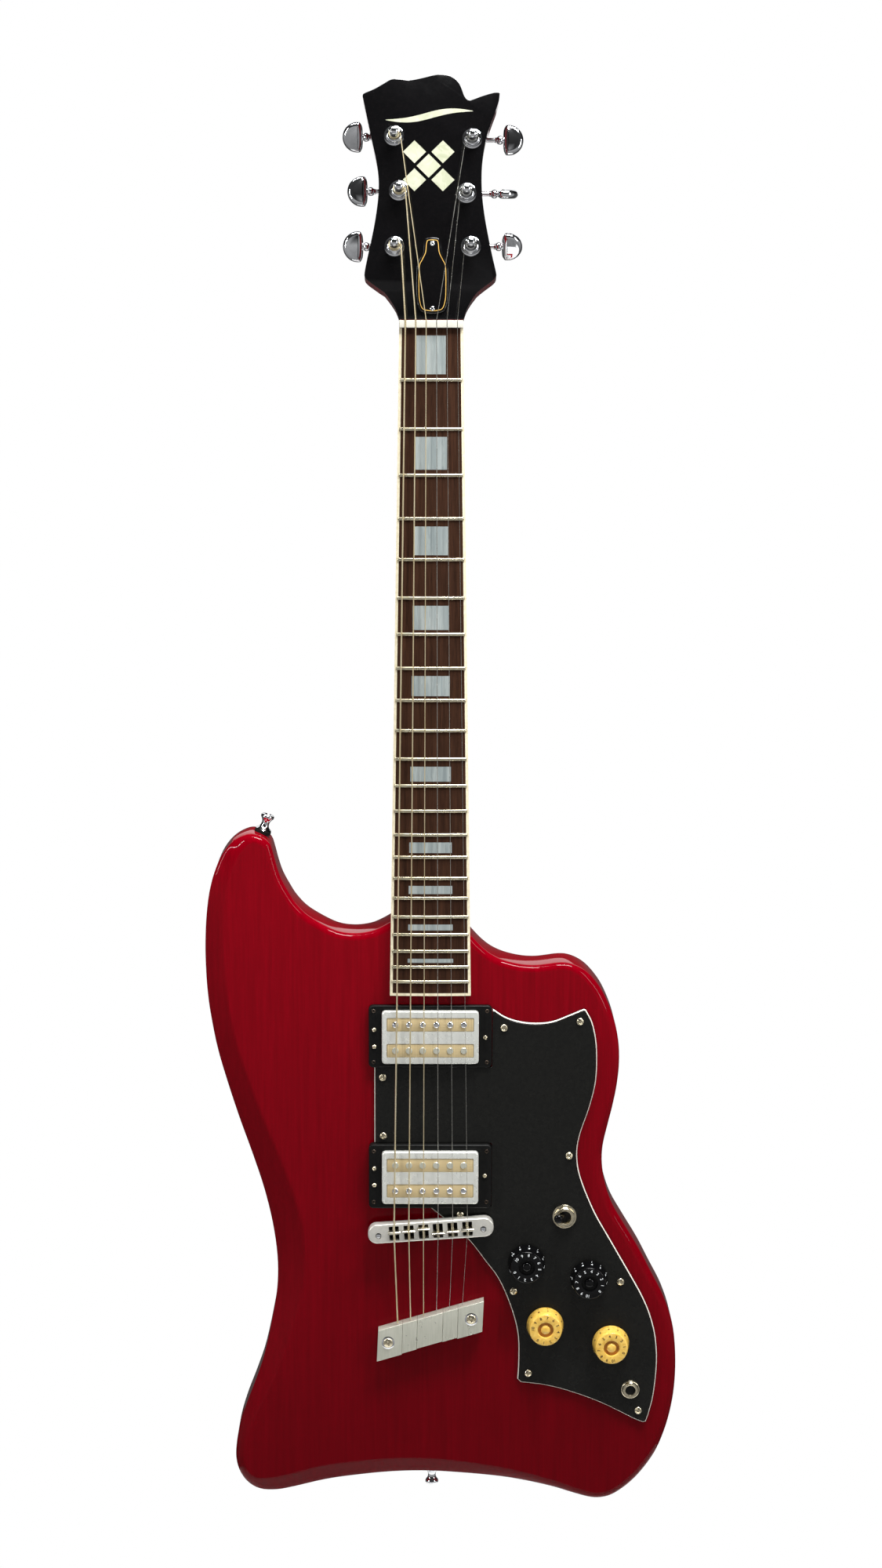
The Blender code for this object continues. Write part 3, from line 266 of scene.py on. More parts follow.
# ---- plane curves ----
def smooth(points, steps, closed=True, corners=()):
    """Curve through the points, each span cut into steps; corner points stay sharp."""
    p = np.array(points, float)
    count = len(p)
    spans = count if closed else count - 1
    result = []
    for i in range(spans):
        a, b = p[i], p[(i + 1) % count]
        before = p[i - 1] if (closed or i > 0) and i not in corners else 2 * a - b
        ends = not closed and i + 2 >= count
        after = 2 * b - a if ends or (i + 1) % count in corners else p[(i + 2) % count]
        for step in range(steps):
            t = step / steps
            result.append(0.5 * (2 * a + (b - before) * t + (2 * before - 5 * a + 4 * b - after) * t ** 2
                                 + (3 * a - before - 3 * b + after) * t ** 3))
    if not closed:
        result.append(p[-1])
    return [tuple(q) for q in result]


def inset(points, widths):
    """Each point of a closed loop moved inward by its own width, mitred at corners."""
    if not hasattr(widths, "__len__"):
        widths = [widths] * len(points)
    count = len(points)
    flat = [Vector(p[:2]) for p in points]
    area = sum(flat[i].x * flat[(i + 1) % count].y - flat[(i + 1) % count].x * flat[i].y
               for i in range(count))
    side = 1 if area > 0 else -1
    result = []
    for i in range(count):
        first = (flat[i] - flat[i - 1]).normalized()
        second = (flat[(i + 1) % count] - flat[i]).normalized()
        along = (first + second).normalized()
        reach = widths[i] / max(along.dot(first), 0.5)
        inward = Vector((-along.y, along.x)) * side
        here = flat[i] + inward * reach
        result.append((here.x, here.y))
    return result


def rounded_rectangle(half_x, half_u, radius, steps=5):
    points = []
    for sx, su, start in ((1, 1, 0), (-1, 1, 90), (-1, -1, 180), (1, -1, 270)):
        for step in range(steps + 1):
            angle = math.radians(start + 90 * step / steps)
            points.append((sx * (half_x - radius) + radius * math.cos(angle),
                           su * (half_u - radius) + radius * math.sin(angle)))
    return points


def down_to_up(points):
    return [(p[0], -p[1]) + tuple(p[2:]) for p in points]


# ---- solids ----
def band_faces(levels, count, closed=False):
    """Four-sided faces between successive rings of count points each."""
    faces = []
    for level in range(levels if closed else levels - 1):
        following = (level + 1) % levels
        for i in range(count):
            j = (i + 1) % count
            faces.append((level * count + i, level * count + j, following * count + j,
                          following * count + i))
    return faces


def loft(rings):
    """Closed solid through rings of equal point count, with flat ends."""
    verts = [Vector(p) for ring in rings for p in ring]
    n = len(rings[0])
    ends = [tuple(range(n)), tuple(range(len(verts) - n, len(verts)))[::-1]]
    return verts, ends + band_faces(len(rings), n)


def ring_solid(rings):
    """Closed solid whose last ring joins back to its first, such as a frame."""
    verts = [Vector(p) for ring in rings for p in ring]
    return verts, band_faces(len(rings), len(rings[0]), closed=True)


def at_height(points, h):
    return [(p[0], p[1], h) for p in points]


def prism(points, low, high):
    return loft([at_height(points, low), at_height(points, high)])


def quarter_round(steps):
    """From wall to crest of a rounded edge: shares of its radius still to go in and down."""
    pairs = []
    for step in range(steps + 1):
        angle = math.radians(90 * step / steps)
        pairs.append((1 - math.cos(angle), 1 - math.sin(angle)))
    return pairs


def eased_prism(points, low, high, ease, steps=4):
    """Prism with its upper edge rounded."""
    rings = [at_height(points, low)]
    for away, drop in quarter_round(steps):
        rings.append(at_height(inset(points, ease * away), high - ease * drop))
    return loft(rings)


def turned(profile, count=40):
    """Solid of revolution about h from a profile of (radius, h); a zero radius is a pole."""
    verts, faces, rings = [], [], []
    for radius, h in profile:
        if radius == 0:
            rings.append([len(verts)])
            verts.append(Vector((0, 0, h)))
            continue
        rings.append(list(range(len(verts), len(verts) + count)))
        for i in range(count):
            angle = 2 * math.pi * i / count
            verts.append(Vector((radius * math.cos(angle), radius * math.sin(angle), h)))
    for a, b in zip(rings, rings[1:]):
        for i in range(count):
            j = (i + 1) % count
            if len(a) == 1:
                faces.append((a[0], b[j], b[i]))
            elif len(b) == 1:
                faces.append((a[i], a[j], b[0]))
            else:
                faces.append((a[i], a[j], b[j], b[i]))
    return verts, faces


def tube(path, radius, count=12):
    """Round bar along a path of points, with flat ends."""
    rings = []
    side = None
    for i, point in enumerate(path):
        along = (path[min(i + 1, len(path) - 1)] - path[max(i - 1, 0)]).normalized()
        if side is None:
            reference = Vector((1, 0, 0)) if abs(along.x) < 0.9 else Vector((0, 0, 1))
            side = along.cross(reference).normalized()
        side = (side - along * side.dot(along)).normalized()
        other = along.cross(side)
        rings.append([point + (side * math.cos(2 * math.pi * k / count)
                               + other * math.sin(2 * math.pi * k / count)) * radius
                      for k in range(count)])
    return loft(rings)


CROSS_EDGE = 14.9
CROSS_ANGLES = (0, CROSS_EDGE, 30, 45, 60, 90 - CROSS_EDGE)
DOME_SLOPES = (0, 20, 38)
CROWN_SLOPES = (0, 25, 50, 70)


def circle(radius, h, angles):
    return [(radius * math.cos(a), radius * math.sin(a), h) for a in angles]


def cross_head(radius, high, arm=0.56, deep=0.55):
    """Domed screw head with a cross-shaped recess; arm is a share of the radius."""
    angles = [math.radians(90 * quarter + a) for quarter in range(4) for a in CROSS_ANGLES]
    half = arm * radius * math.tan(math.radians(CROSS_EDGE))

    def cross(h, share=1.0):
        points = []
        for a in angles:
            c, s = abs(math.cos(a)), abs(math.sin(a))
            reach = arm * radius / max(c, s)
            if min(c, s) * reach > half:
                reach = half / min(c, s)
            points.append((share * reach * math.cos(a), share * reach * math.sin(a), h))
        return points

    dome = [circle(radius * math.cos(math.radians(t)), high * (0.25 + 0.75 * math.sin(math.radians(t))),
                   angles) for t in DOME_SLOPES]
    crest = high * 0.94
    return loft([circle(radius, 0, angles), *dome, cross(crest, 1.12), cross(crest - 0.05),
                 cross(crest - deep * 0.6, 0.9), cross(crest - deep, 0.7)])


def domed_head(radius, high, count=24):
    """Low domed round head with a small flat crown."""
    angles = [2 * math.pi * i / count for i in range(count)]
    rings = [circle(radius, 0, angles)]
    for t in CROWN_SLOPES:
        slope = math.radians(t)
        rings.append(circle(radius * math.cos(slope), high * (0.3 + 0.7 * math.sin(slope)), angles))
    return loft(rings)


# ---- looks ----
LOOKS = {}
COAT_ROUGHNESS = 0.04
# Heights in metres over which painted shade darkens the body's colour toward its bottom.
PAINTED_SHADE_LOW = -0.82
PAINTED_SHADE_HIGH = -0.40
WEAVE_PITCH = (300, 285)
WINDING_PITCH = 180

# Name, slot, colours, grain, then what else the timber's finish needs, with any painted shade toward the
# bottom.
WOOD_LOOKS = (
    ("cherry_gloss", "cherry_wood", ((104, 0, 10), (122, 0, 14), (138, 1, 19)), (340, 340, 11),
     {"roughness": (0.30, 0.42), "coat": 1.0, "specular": 0.0, "depth_mm": 0.003, "shade_at_bottom": 0.56}),
    ("cherry_neck", "head_wood", ((84, 4, 10), (104, 8, 14), (122, 12, 18)), (300, 300, 8),
     {"roughness": (0.30, 0.42), "coat": 1.0, "specular": 0.08, "depth_mm": 0.004}),
    ("rosewood_oil", "rosewood", ((28, 16, 12), (46, 29, 21), (72, 46, 32)), (420, 420, 12),
     {"roughness": (0.42, 0.62), "coat": 0.0, "specular": 0.06, "depth_mm": 0.03}),
)

# Name, slot, colours, stretch.
PEARL_LOOKS = (
    ("block_pearl", "ivory_plastic", ((116, 128, 131), (138, 148, 148), (168, 175, 173)), (330, 330, 22)),
    ("shell_pearl", "ivory_plastic", ((150, 156, 126), (170, 174, 148), (186, 186, 168)), (110, 110, 90)),
)

# Name, slot, darker and lighter colour, range of roughness, then what differs from a plain plastic.
PLAIN_LOOKS = (
    ("black_lacquer", "head_wood", (7, 7, 8), (11, 10, 11), (0.06, 0.12), {"coat": 0.5}),
    ("binding_cream", "ivory_plastic", (226, 214, 180), (242, 233, 206), (0.25, 0.4), {}),
    ("nut_ivory", "ivory_plastic", (190, 187, 175), (201, 198, 187), (0.25, 0.4), {}),
    ("fret_nickel", "nickel", (190, 182, 154), (212, 204, 180), (0.24, 0.32),
     {"metallic": 0.9, "depth_mm": 0.001}),
    ("guard_black", "black_plastic", (19, 19, 18), (25, 25, 23), (0.2, 0.32), {"specular": 0.2}),
    ("guard_white", "ivory_plastic", (206, 202, 192), (226, 222, 212), (0.35, 0.5), {}),
    ("ring_black", "black_plastic", (12, 12, 12), (19, 19, 18), (0.3, 0.42), {"specular": 0.16}),
    ("gold_line", "bronze_wire", (204, 160, 74), (228, 186, 100), (0.3, 0.42), {"metallic": 0.3}),
    ("chrome_bright", "chrome", (226, 228, 232), (238, 239, 242), (0.05, 0.1),
     {"metallic": 1.0, "depth_mm": 0.0008}),
    ("chrome_satin", "chrome", (226, 228, 222), (236, 237, 230), (0.24, 0.3),
     {"metallic": 0.45, "depth_mm": 0.0006}),
    ("bridge_chrome", "chrome", (222, 220, 212), (234, 231, 222), (0.18, 0.24),
     {"metallic": 0.6, "depth_mm": 0.0006}),
    ("nickel_brushed", "nickel", (200, 201, 186), (214, 214, 200), (0.26, 0.32),
     {"metallic": 0.5, "depth_mm": 0.0006, "grain": (900, 900, 90)}),
    ("screw_nickel", "nickel", (196, 186, 160), (226, 216, 190), (0.2, 0.3), {"metallic": 1.0}),
    ("screw_dark", "nickel", (52, 44, 38), (84, 72, 62), (0.3, 0.45), {"metallic": 0.9}),
    ("saddle_metal", "chrome", (214, 208, 190), (236, 231, 216), (0.14, 0.24), {"metallic": 1.0}),
    ("steel_plain", "steel", (200, 198, 190), (220, 218, 210), (0.2, 0.32), {"metallic": 1.0}),
    ("felt_black", "black_plastic", (16, 15, 15), (34, 32, 31), (0.85, 0.95),
     {"specular": 0.1, "depth_mm": 0.08, "grain": (2500, 2500, 2500)}),
    ("knob_black", "black_plastic", (6, 6, 7), (10, 10, 11), (0.08, 0.16), {"specular": 0.25}),
    ("knob_amber", "amber_plastic", (222, 172, 66), (242, 204, 104), (0.12, 0.22), {"coat": 0.5}),
    # Painted shade: a darker copy of the amber plastic for the floor of the knob's recess.
    ("knob_amber_recess_shaded", "amber_plastic", (178, 112, 26), (204, 140, 44), (0.15, 0.28), {}),
    ("print_white", "ivory_plastic", (214, 218, 220), (236, 240, 240), (0.4, 0.5), {}),
    ("print_dark", "black_plastic", (52, 22, 6), (66, 30, 10), (0.4, 0.5), {}),
)


def linear(colour):
    """A 0-255 display colour as linear light."""
    return tuple(c / 255 / 12.92 if c <= 10 else ((c / 255 + 0.055) / 1.055) ** 2.4 for c in colour)


def add(tree, kind, values=None, links=None, **settings):
    """A shader node with its settings, its plain input values and its input links."""
    made = tree.nodes.new("ShaderNode" + kind)
    for name, value in settings.items():
        setattr(made, name, value)
    for socket, value in (values or {}).items():
        made.inputs[socket].default_value = value
    for socket, source in (links or {}).items():
        tree.links.new(source, made.inputs[socket])
    return made


def stretched(tree, stretch):
    """Object coordinates in metres, multiplied by a factor on each axis."""
    place = add(tree, "TexCoord").outputs["Object"]
    return add(tree, "Mapping", {"Scale": stretch}, {"Vector": place}).outputs["Vector"]


def coordinate(tree, kind, axis):
    """One axis of a texture coordinate."""
    place = add(tree, "TexCoord").outputs[kind]
    return add(tree, "SeparateXYZ", links={"Vector": place}).outputs[axis]


def noise(tree, stretch, detail=4.0, rough=0.55, distortion=0.0):
    values = {"Scale": 1.0, "Detail": detail, "Roughness": rough, "Distortion": distortion}
    return add(tree, "TexNoise", values, {"Vector": stretched(tree, stretch)}).outputs["Fac"]


def wave(tree, stretch, direction):
    values = {"Scale": 1.0, "Distortion": 0.0, "Detail": 2.0}
    links = {"Vector": stretched(tree, stretch)}
    return add(tree, "TexWave", values, links, bands_direction=direction).outputs["Fac"]


def ramp(tree, factor, stops):
    made = add(tree, "ValToRGB", links={"Fac": factor})
    while len(made.color_ramp.elements) < len(stops):
        made.color_ramp.elements.new(0.5)
    for element, (position, colour) in zip(made.color_ramp.elements, stops):
        element.position = position
        element.color = (*linear(colour), 1)
    return made.outputs["Color"]


def remap(tree, factor, start, end):
    """Carry a factor from one pair of limits to another."""
    values = {"From Min": start[0], "From Max": start[1], "To Min": end[0], "To Max": end[1]}
    return add(tree, "MapRange", values, {"Value": factor}).outputs["Result"]


def spread(tree, factor, limits):
    """Map the middle of a texture's 0-1 factor to a range of plain numbers."""
    return remap(tree, factor, (0.3, 0.7), limits)


def blended(tree, factor, first, second):
    links = {"Factor": factor, "A": first, "B": second}
    return add(tree, "Mix", links=links, data_type="RGBA").outputs["Result"]


def multiplied(tree, colour, share):
    return add(tree, "VectorMath", links={0: colour, "Scale": share}, operation="SCALE").outputs["Vector"]


def start_look(name, slot, metallic=0.0, coat=0.0, coat_ior=1.5, specular=0.5):
    made = bpy.data.materials.new(name)
    made.use_nodes = True
    shader = made.node_tree.nodes["Principled BSDF"]
    for socket, value in (("Metallic", metallic), ("Coat Weight", coat), ("Coat IOR", coat_ior),
                          ("Coat Roughness", COAT_ROUGHNESS), ("Specular IOR Level", specular)):
        shader.inputs[socket].default_value = value
    LOOKS[name] = (made, slot)
    return made.node_tree, shader


def finish_look(tree, shader, colour, roughness, height=None, depth_mm=0.0):
    """Wire a colour and a roughness to the shader, and a height texture if there is one."""
    tree.links.new(colour, shader.inputs["Base Color"])
    tree.links.new(roughness, shader.inputs["Roughness"])
    if height:
        relief = add(tree, "Bump", {"Strength": 1.0, "Distance": depth_mm * MM}, {"Height": height})
        tree.links.new(relief.outputs["Normal"], shader.inputs["Normal"])


def plain_look(name, slot, dark, light, roughness, metallic=0.0, grain=(400, 400, 400), depth_mm=0.004,
               coat=0.0, specular=0.5):
    """A finish with slight variation of colour and gloss and a fine surface texture."""
    tree, shader = start_look(name, slot, metallic, coat, specular=specular)
    colour = ramp(tree, noise(tree, grain), ((0.3, dark), (0.7, light)))
    gloss = spread(tree, noise(tree, (90, 90, 90)), roughness)
    fine = noise(tree, tuple(4 * g for g in grain), detail=2.0)
    finish_look(tree, shader, colour, gloss, fine, depth_mm)


def wood_look(name, slot, colours, grain, roughness, coat, specular, depth_mm, shade_at_bottom=1.0):
    """Stained timber: long streaks, fine pores, and painted shade that may darken the colour downward."""
    tree, shader = start_look(name, slot, coat=coat, coat_ior=1.2 if coat else 1.5, specular=specular)
    streaks = noise(tree, grain, detail=6.0, rough=0.6, distortion=0.4)
    broad = noise(tree, tuple(g / 9 for g in grain), detail=2.0)
    fine = noise(tree, tuple(g * 5 for g in grain), detail=3.0)
    dark = ramp(tree, streaks, ((0.28, colours[0]), (0.5, colours[1]), (0.72, colours[2])))
    light = ramp(tree, fine, ((0.3, colours[1]), (0.7, colours[2])))
    stain_and_shade = blended(tree, broad, dark, light)
    # Painted shade: the colour is multiplied down toward the bottom, standing in for the light falling off
    # there.
    if shade_at_bottom < 1.0:
        height = coordinate(tree, "Object", "Z")
        stain_and_shade = multiplied(tree, stain_and_shade, remap(tree, height, (PAINTED_SHADE_LOW, PAINTED_SHADE_HIGH), (shade_at_bottom, 1.0)))
    finish_look(tree, shader, stain_and_shade, spread(tree, streaks, roughness), fine, depth_mm)


def pearl_look(name, slot, colours, stretch):
    """Layered shell: soft bands broken into patches."""
    tree, shader = start_look(name, slot, coat=0.7, specular=0.6)
    bands = noise(tree, stretch, detail=3.0, distortion=0.8)
    patches = noise(tree, tuple(s * 0.35 for s in stretch), detail=1.0)
    first = ramp(tree, bands, ((0.32, colours[0]), (0.5, colours[1]), (0.68, colours[2])))
    second = ramp(tree, patches, ((0.35, colours[1]), (0.65, colours[2])))
    finish_look(tree, shader, blended(tree, patches, first, second), spread(tree, bands, (0.18, 0.34)))


def weave_look(name, slot):
    """Cream block printed with rows of short brown dashes."""
    tree, shader = start_look(name, slot, coat=0.3)
    dashes = wave(tree, (WEAVE_PITCH[0], 0, 0), "X")
    rows = wave(tree, (0, 0, WEAVE_PITCH[1]), "Z")
    both = add(tree, "Math", links={0: rows, 1: dashes}, operation="MULTIPLY").outputs["Value"]
    colour = ramp(tree, both, ((0.35, (202, 184, 141)), (0.62, (140, 108, 62))))
    finish_look(tree, shader, colour, spread(tree, noise(tree, (200, 200, 200)), (0.3, 0.5)), both, 0.02)


def wound_look(name, slot):
    """Wrap wire round a core: fine ridges across the string."""
    tree, shader = start_look(name, slot, 0.85)
    ridges = wave(tree, (0, 0, WINDING_PITCH), "Z")
    colour = ramp(tree, noise(tree, (300, 300, 25)), ((0.3, (214, 196, 152)), (0.7, (244, 232, 198))))
    finish_look(tree, shader, colour, spread(tree, ridges, (0.3, 0.42)), ridges, 0.03)


def make_looks():
    for name, slot, colours, grain, finish in WOOD_LOOKS:
        wood_look(name, slot, colours, grain, **finish)
    for look in PEARL_LOOKS:
        pearl_look(*look)
    for name, slot, dark, light, roughness, finish in PLAIN_LOOKS:
        plain_look(name, slot, dark, light, roughness, **finish)
    weave_look("insert_weave", "cream_insert")
    wound_look("string_wound", "bronze_wire")


# ---- pieces ----
CARVED_CREASE = 35


def shade(mesh, sharp_degrees):
    """Outward faces, flat where many-sided, smooth elsewhere, with sharp creases."""
    work = bmesh.new()
    work.from_mesh(mesh)
    bmesh.ops.recalc_face_normals(work, faces=work.faces)
    work.to_mesh(mesh)
    work.free()
    for face in mesh.polygons:
        face.use_smooth = len(face.vertices) <= 4
    mesh.set_sharp_from_angle(angle=math.radians(sharp_degrees))


def split_wide_faces(mesh):
    """Cut faces of more than four sides into triangles, which keep their flat shading."""
    work = bmesh.new()
    work.from_mesh(mesh)
    wide = [face for face in work.faces if len(face.verts) > 4]
    bmesh.ops.triangulate(work, faces=wide, quad_method="BEAUTY", ngon_method="EAR_CLIP")
    work.to_mesh(mesh)
    work.free()


def mesh_object(name, shape, plane):
    verts, faces = shape
    mesh = bpy.data.meshes.new(name)
    mesh.from_pydata([plane @ Vector(v) for v in verts], [], faces)
    mesh.validate()
    made = bpy.data.objects.new(name, mesh)
    bpy.context.scene.collection.objects.link(made)
    return made


def piece(name, shape, plane, look, node, body="guitar", carved=None, sharp=35):
    """A named visual piece that stands for a CAD node and rides on one of its bodies."""
    material, slot = LOOKS[look]
    made = mesh_object(name, shape, plane)
    shade(made.data, sharp)
    if carved:
        carve(made, carved, plane)
    split_wide_faces(made.data)
    made.data.materials.clear()
    made.data.materials.append(material)
    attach(made, body)
    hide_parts(node)


def spun(name, profile, count, place, plane, look, node, body="guitar", sharp=35):
    """A piece turned from a profile and set in place."""
    piece(name, moved(turned(profile, count), place), plane, look, node, body, sharp=sharp)


def screw(name, radius, high, place, plane, look, node, **recess):
    piece(name, moved(cross_head(radius, high, **recess), place), plane, look, node)


def carve(made, shape, plane):
    """Cut a shape out of a piece and keep the result as its mesh."""
    tool = mesh_object(made.name + "_tool", shape, plane)
    shade(tool.data, CARVED_CREASE)
    change = made.modifiers.new("carve", "BOOLEAN")
    change.operation = "DIFFERENCE"
    change.solver = "EXACT"
    change.object = tool
    graph = bpy.context.evaluated_depsgraph_get()
    result = bpy.data.meshes.new_from_object(made.evaluated_get(graph))
    made.modifiers.clear()
    made.data = result
    out = plane.to_3x3() @ Vector((0, 0, 1))
    out.normalize()
    for face in result.polygons:
        face.use_smooth = abs(face.normal.dot(out)) < 0.999
    result.set_sharp_from_angle(angle=math.radians(CARVED_CREASE))
    bpy.data.objects.remove(tool, do_unlink=True)


# ---- body ----
# The edge is a quarter round up to ROUND_UNTIL wide and turns into a shallow bevel over BEVEL_BLEND.
ROUND_UNTIL = 6.0
BEVEL_BLEND = 5.0
ROUND_DEEP = 0.9
BEVEL_DEEP = 0.45
WALL_SHARE = 0.06
BEVEL_STEPS = (0.0, 0.05, 0.1, 0.16, 0.24, 0.36, 0.5, 0.62, 0.74, 0.84, 0.91, 0.96, 1.0)
CREASE = 0.16
WALL_TURN = 0.84


def bevel_inset_drop(width, t):
    """Inset and depth across the edge: a quarter round when narrow, a shallow bevel when wide."""
    blend = min(max((width - ROUND_UNTIL) / BEVEL_BLEND, 0.0), 1.0)
    deep = width * (ROUND_DEEP * (1 - blend) + BEVEL_DEEP * blend)
    angle = t * math.pi / 2
    slope = t * t / (2 * CREASE) if t < CREASE else t - CREASE / 2
    slope = slope * (1 - WALL_SHARE) / (1 - CREASE / 2)
    if t > WALL_TURN:
        slope += WALL_SHARE * ((t - WALL_TURN) / (1 - WALL_TURN)) ** 2
    away = (1 - math.sin(angle)) * (1 - blend) + (1 - t) * blend
    drop = (1 - math.cos(angle)) * (1 - blend) + slope * blend
    return width * away, deep * drop


def make_body():
    edge = smooth(down_to_up(BODY_EDGE), 4)
    rings = []
    for t in BEVEL_STEPS:
        pairs = [bevel_inset_drop(p[2], t) for p in edge]
        loop = inset(edge, [away + SKIN for away, drop in pairs])
        rings.append([(x, u, -drop) for (x, u), (away, drop) in zip(loop, pairs)])
    for away, drop in quarter_round(5):
        rings.append(at_height(inset(edge, BACK_ROUND * away + SKIN), BACK_ROUND * drop - BODY_THICK))
    piece("body_shell", loft(rings), BODY, "cherry_gloss", "body")


# Turned profiles are (radius, height) along the piece's own axis, from one end to the other.
STRAP_BUTTON = ((0, -6), (2.0, -6), (2.0, 1.9), (5.2, 1.9), (5.6, 2.3), (4.9, 3.0), (3.6, 3.9), (2.9, 5.4),
                (2.7, 7.0), (2.9, 8.4), (3.6, 9.7), (4.5, 10.9), (4.7, 11.6), (4.6, 12.5), (4.1, 13.1),
                (3.6, 13.3), (2.6, 13.35), (1.9, 12.6), (0, 12.5))
STRAP_FELT = ((0, -0.6), (5.8, -0.6), (5.8, 1.5), (5.5, 1.9), (0, 1.9))


def make_strap_button(name, spot, lean):
    x, d = spot
    axis = shift(x, -d, -BODY_THICK / 2) @ turn(-lean, "Z") @ turn(-90, "X")
    spun(name + "_metal", STRAP_BUTTON, 36, axis, BODY, "chrome_bright", name)
    spun(name + "_felt", STRAP_FELT, 36, axis, BODY, "felt_black", name)


# ---- neck and headstock ----
SECTION_POINTS = 27
SECTION_POWER = 2.3
# Where the headstock runs into the neck: u, left half, right half, depth and squareness.
HEAD_SECTIONS = ((24.4, 31.8, 31.4, 15.0, 1.0), (18, 27.3, 27.0, 15.0, 0.85),
                 (12, 24.0, 24.0, 15.2, 0.6), (5.8, 21.9, 22.1, 15.6, 0.35))
# Along the neck, its heel and the tongue under the fretboard: d, depth and squareness.
NECK_SECTIONS = ((-5.3, 11.6, 0.3), (0, 13.6, 0.12), (12, 15.2, 0), (60, 15.6, 0), (160, 16.6, 0),
                 (260, 17.6, 0), (350, 18.4, 0), (378, 18.8, 0.1), (392, 19.8, 0.4), (402, 20.9, 0.8),
                 (410, 21.4, 1.0), (TONGUE_END, 21.4, 1.0))


def board_half(d):
    return (NUT_WIDTH + (BOARD_END_WIDTH - NUT_WIDTH) * d / BOARD_END) / 2


def section(half_left, half_right, depth, squareness):
    """Neck cross-section from the left front corner round the back to the right front corner."""
    points = []
    last = SECTION_POINTS - 1
    for i in range(SECTION_POINTS):
        angle = math.pi * i / last
        c, s = math.cos(angle), math.sin(angle)
        x = -math.copysign(abs(c) ** (2 / SECTION_POWER), c)
        y = abs(s) ** (2 / SECTION_POWER)
        square_x = min(max(-1 + 2 * (i - 1) / (last - 2), -1), 1)
        square_y = 0 if i in (0, last) else 1
        px = x + (square_x - x) * squareness
        py = y + (square_y - y) * squareness
        points.append((px * (half_left if px < 0 else half_right), -py * depth))
    return points


def neck_rings():
    """Cross-sections in world millimetres from the headstock shoulders to the end of the tongue."""
    controls = []
    for u, *shape in HEAD_SECTIONS:
        controls.append([TO_MM @ HEAD @ Vector((x, u, min(h, -VENEER))) for x, h in section(*shape)])
    for d, depth, squareness in NECK_SECTIONS:
        half = board_half(max(d, 0)) - 0.05
        controls.append([TO_MM @ NECK @ Vector((x, -d, NECK_TOP + 0.25 + h))
                         for x, h in section(half, half, depth, squareness)])
    fine = smooth([[c for point in ring for c in point] for ring in controls], 3, closed=False)
    return [[Vector(row[3 * i:3 * i + 3]) for i in range(SECTION_POINTS)] for row in fine]


def head_outline():
    edge = smooth(HEAD_EDGE, 4, closed=False, corners=HEAD_CORNERS)
    return [(x, u - HEAD_CLEAR) for x, u in edge]


def neck_solid():
    """Headstock plate and neck as one skin: the plate's lower edge is the first cross-section."""
    rings = neck_rings()
    edge = head_outline()[2:-2]
    front, back = [[TO_MM @ HEAD @ Vector((x, u, -h)) for x, u in edge] for h in (VENEER, HEAD_THICK)]
    verts = [p for ring in rings for p in ring]
    n = SECTION_POINTS
    m = len(edge)
    f0 = len(verts)
    b0 = f0 + m
    faces = band_faces(len(rings), n) + [tuple(range(f0 - n, f0))]
    faces.append((0, *range(f0, b0), n - 1))
    faces.append((1, *range(b0, b0 + m), *range(n - 2, 1, -1)))
    faces.append((0, 1, b0, f0))
    for i in range(m - 1):
        faces.append((f0 + i, b0 + i, b0 + i + 1, f0 + i + 1))
    faces.append((b0 - 1, b0 + m - 1, n - 2, n - 1))
    return verts + front + back, faces


def make_neck():
    piece("neck_wood", neck_solid(), WORLD, "cherry_neck", "neck")
    throat = smooth((HEAD_EDGE[-1],) + HEAD_THROAT[:3], 4, closed=False)[1:]
    throat += smooth(HEAD_THROAT[3:] + (HEAD_EDGE[0],), 4, closed=False)[:-1]
    veneer = eased_prism(head_outline() + throat, -VENEER, 0.0, 0.2, 2)
    piece("headstock_veneer", veneer, HEAD, "black_lacquer", "neck")


# ---- headstock ornament ----
ORNAMENT_CENTRE = (-1.8, 112.0)
DIAMOND_MIDDLE = 8.28
DIAMOND_OUTER = 7.92
DIAMOND_OFF = 9.72
RIBBON_CENTRE = (-1.5, 147.0)
RIBBON_HALF = 30.0
RIBBON_LEAN = 6.0
RIBBON_WAVE = 1.6
RIBBON_TIP = 0.15
RIBBON_SWELL = 2.1
ORNAMENT_DEPTH = (-0.2, 0.08)
TRUSS_ROD = {"from_u": 21, "to_u": -414, "h": -9.2, "radius": 2.6}
COVER_MIDDLE = 0.8
COVER_FACE = 2.1
COVER_LINE = (1.5, 1.95)


def make_ornament():
    """Plain pearl diamonds and a plain ribbon where the headstock carries its inlays."""
    x, u = ORNAMENT_CENTRE
    diamonds = []
    for sx, su in ((0, 0), (1, 1), (-1, 1), (1, -1), (-1, -1)):
        half = DIAMOND_OUTER if sx else DIAMOND_MIDDLE
        diamond = prism(((half, 0), (0, half), (-half, 0), (0, -half)), *ORNAMENT_DEPTH)
        diamonds.append(moved(diamond, shift(x + sx * DIAMOND_OFF, u + su * DIAMOND_OFF)))
    piece("headstock_diamonds", joined(diamonds), HEAD, "shell_pearl", "neck")
    upper, lower = [], []
    for step in range(25):
        t = -1 + 2 * step / 24
        middle = RIBBON_WAVE * math.sin(math.pi * t)
        half = RIBBON_TIP + RIBBON_SWELL * (1 - t * t)
        upper.append((t * RIBBON_HALF, middle + half))
        lower.append((t * RIBBON_HALF, middle - half))
    ribbon = prism(upper + lower[::-1], *ORNAMENT_DEPTH)
    place = shift(*RIBBON_CENTRE) @ turn(RIBBON_LEAN, "Z")
    piece("headstock_ribbon", moved(ribbon, place), HEAD, "shell_pearl", "neck")


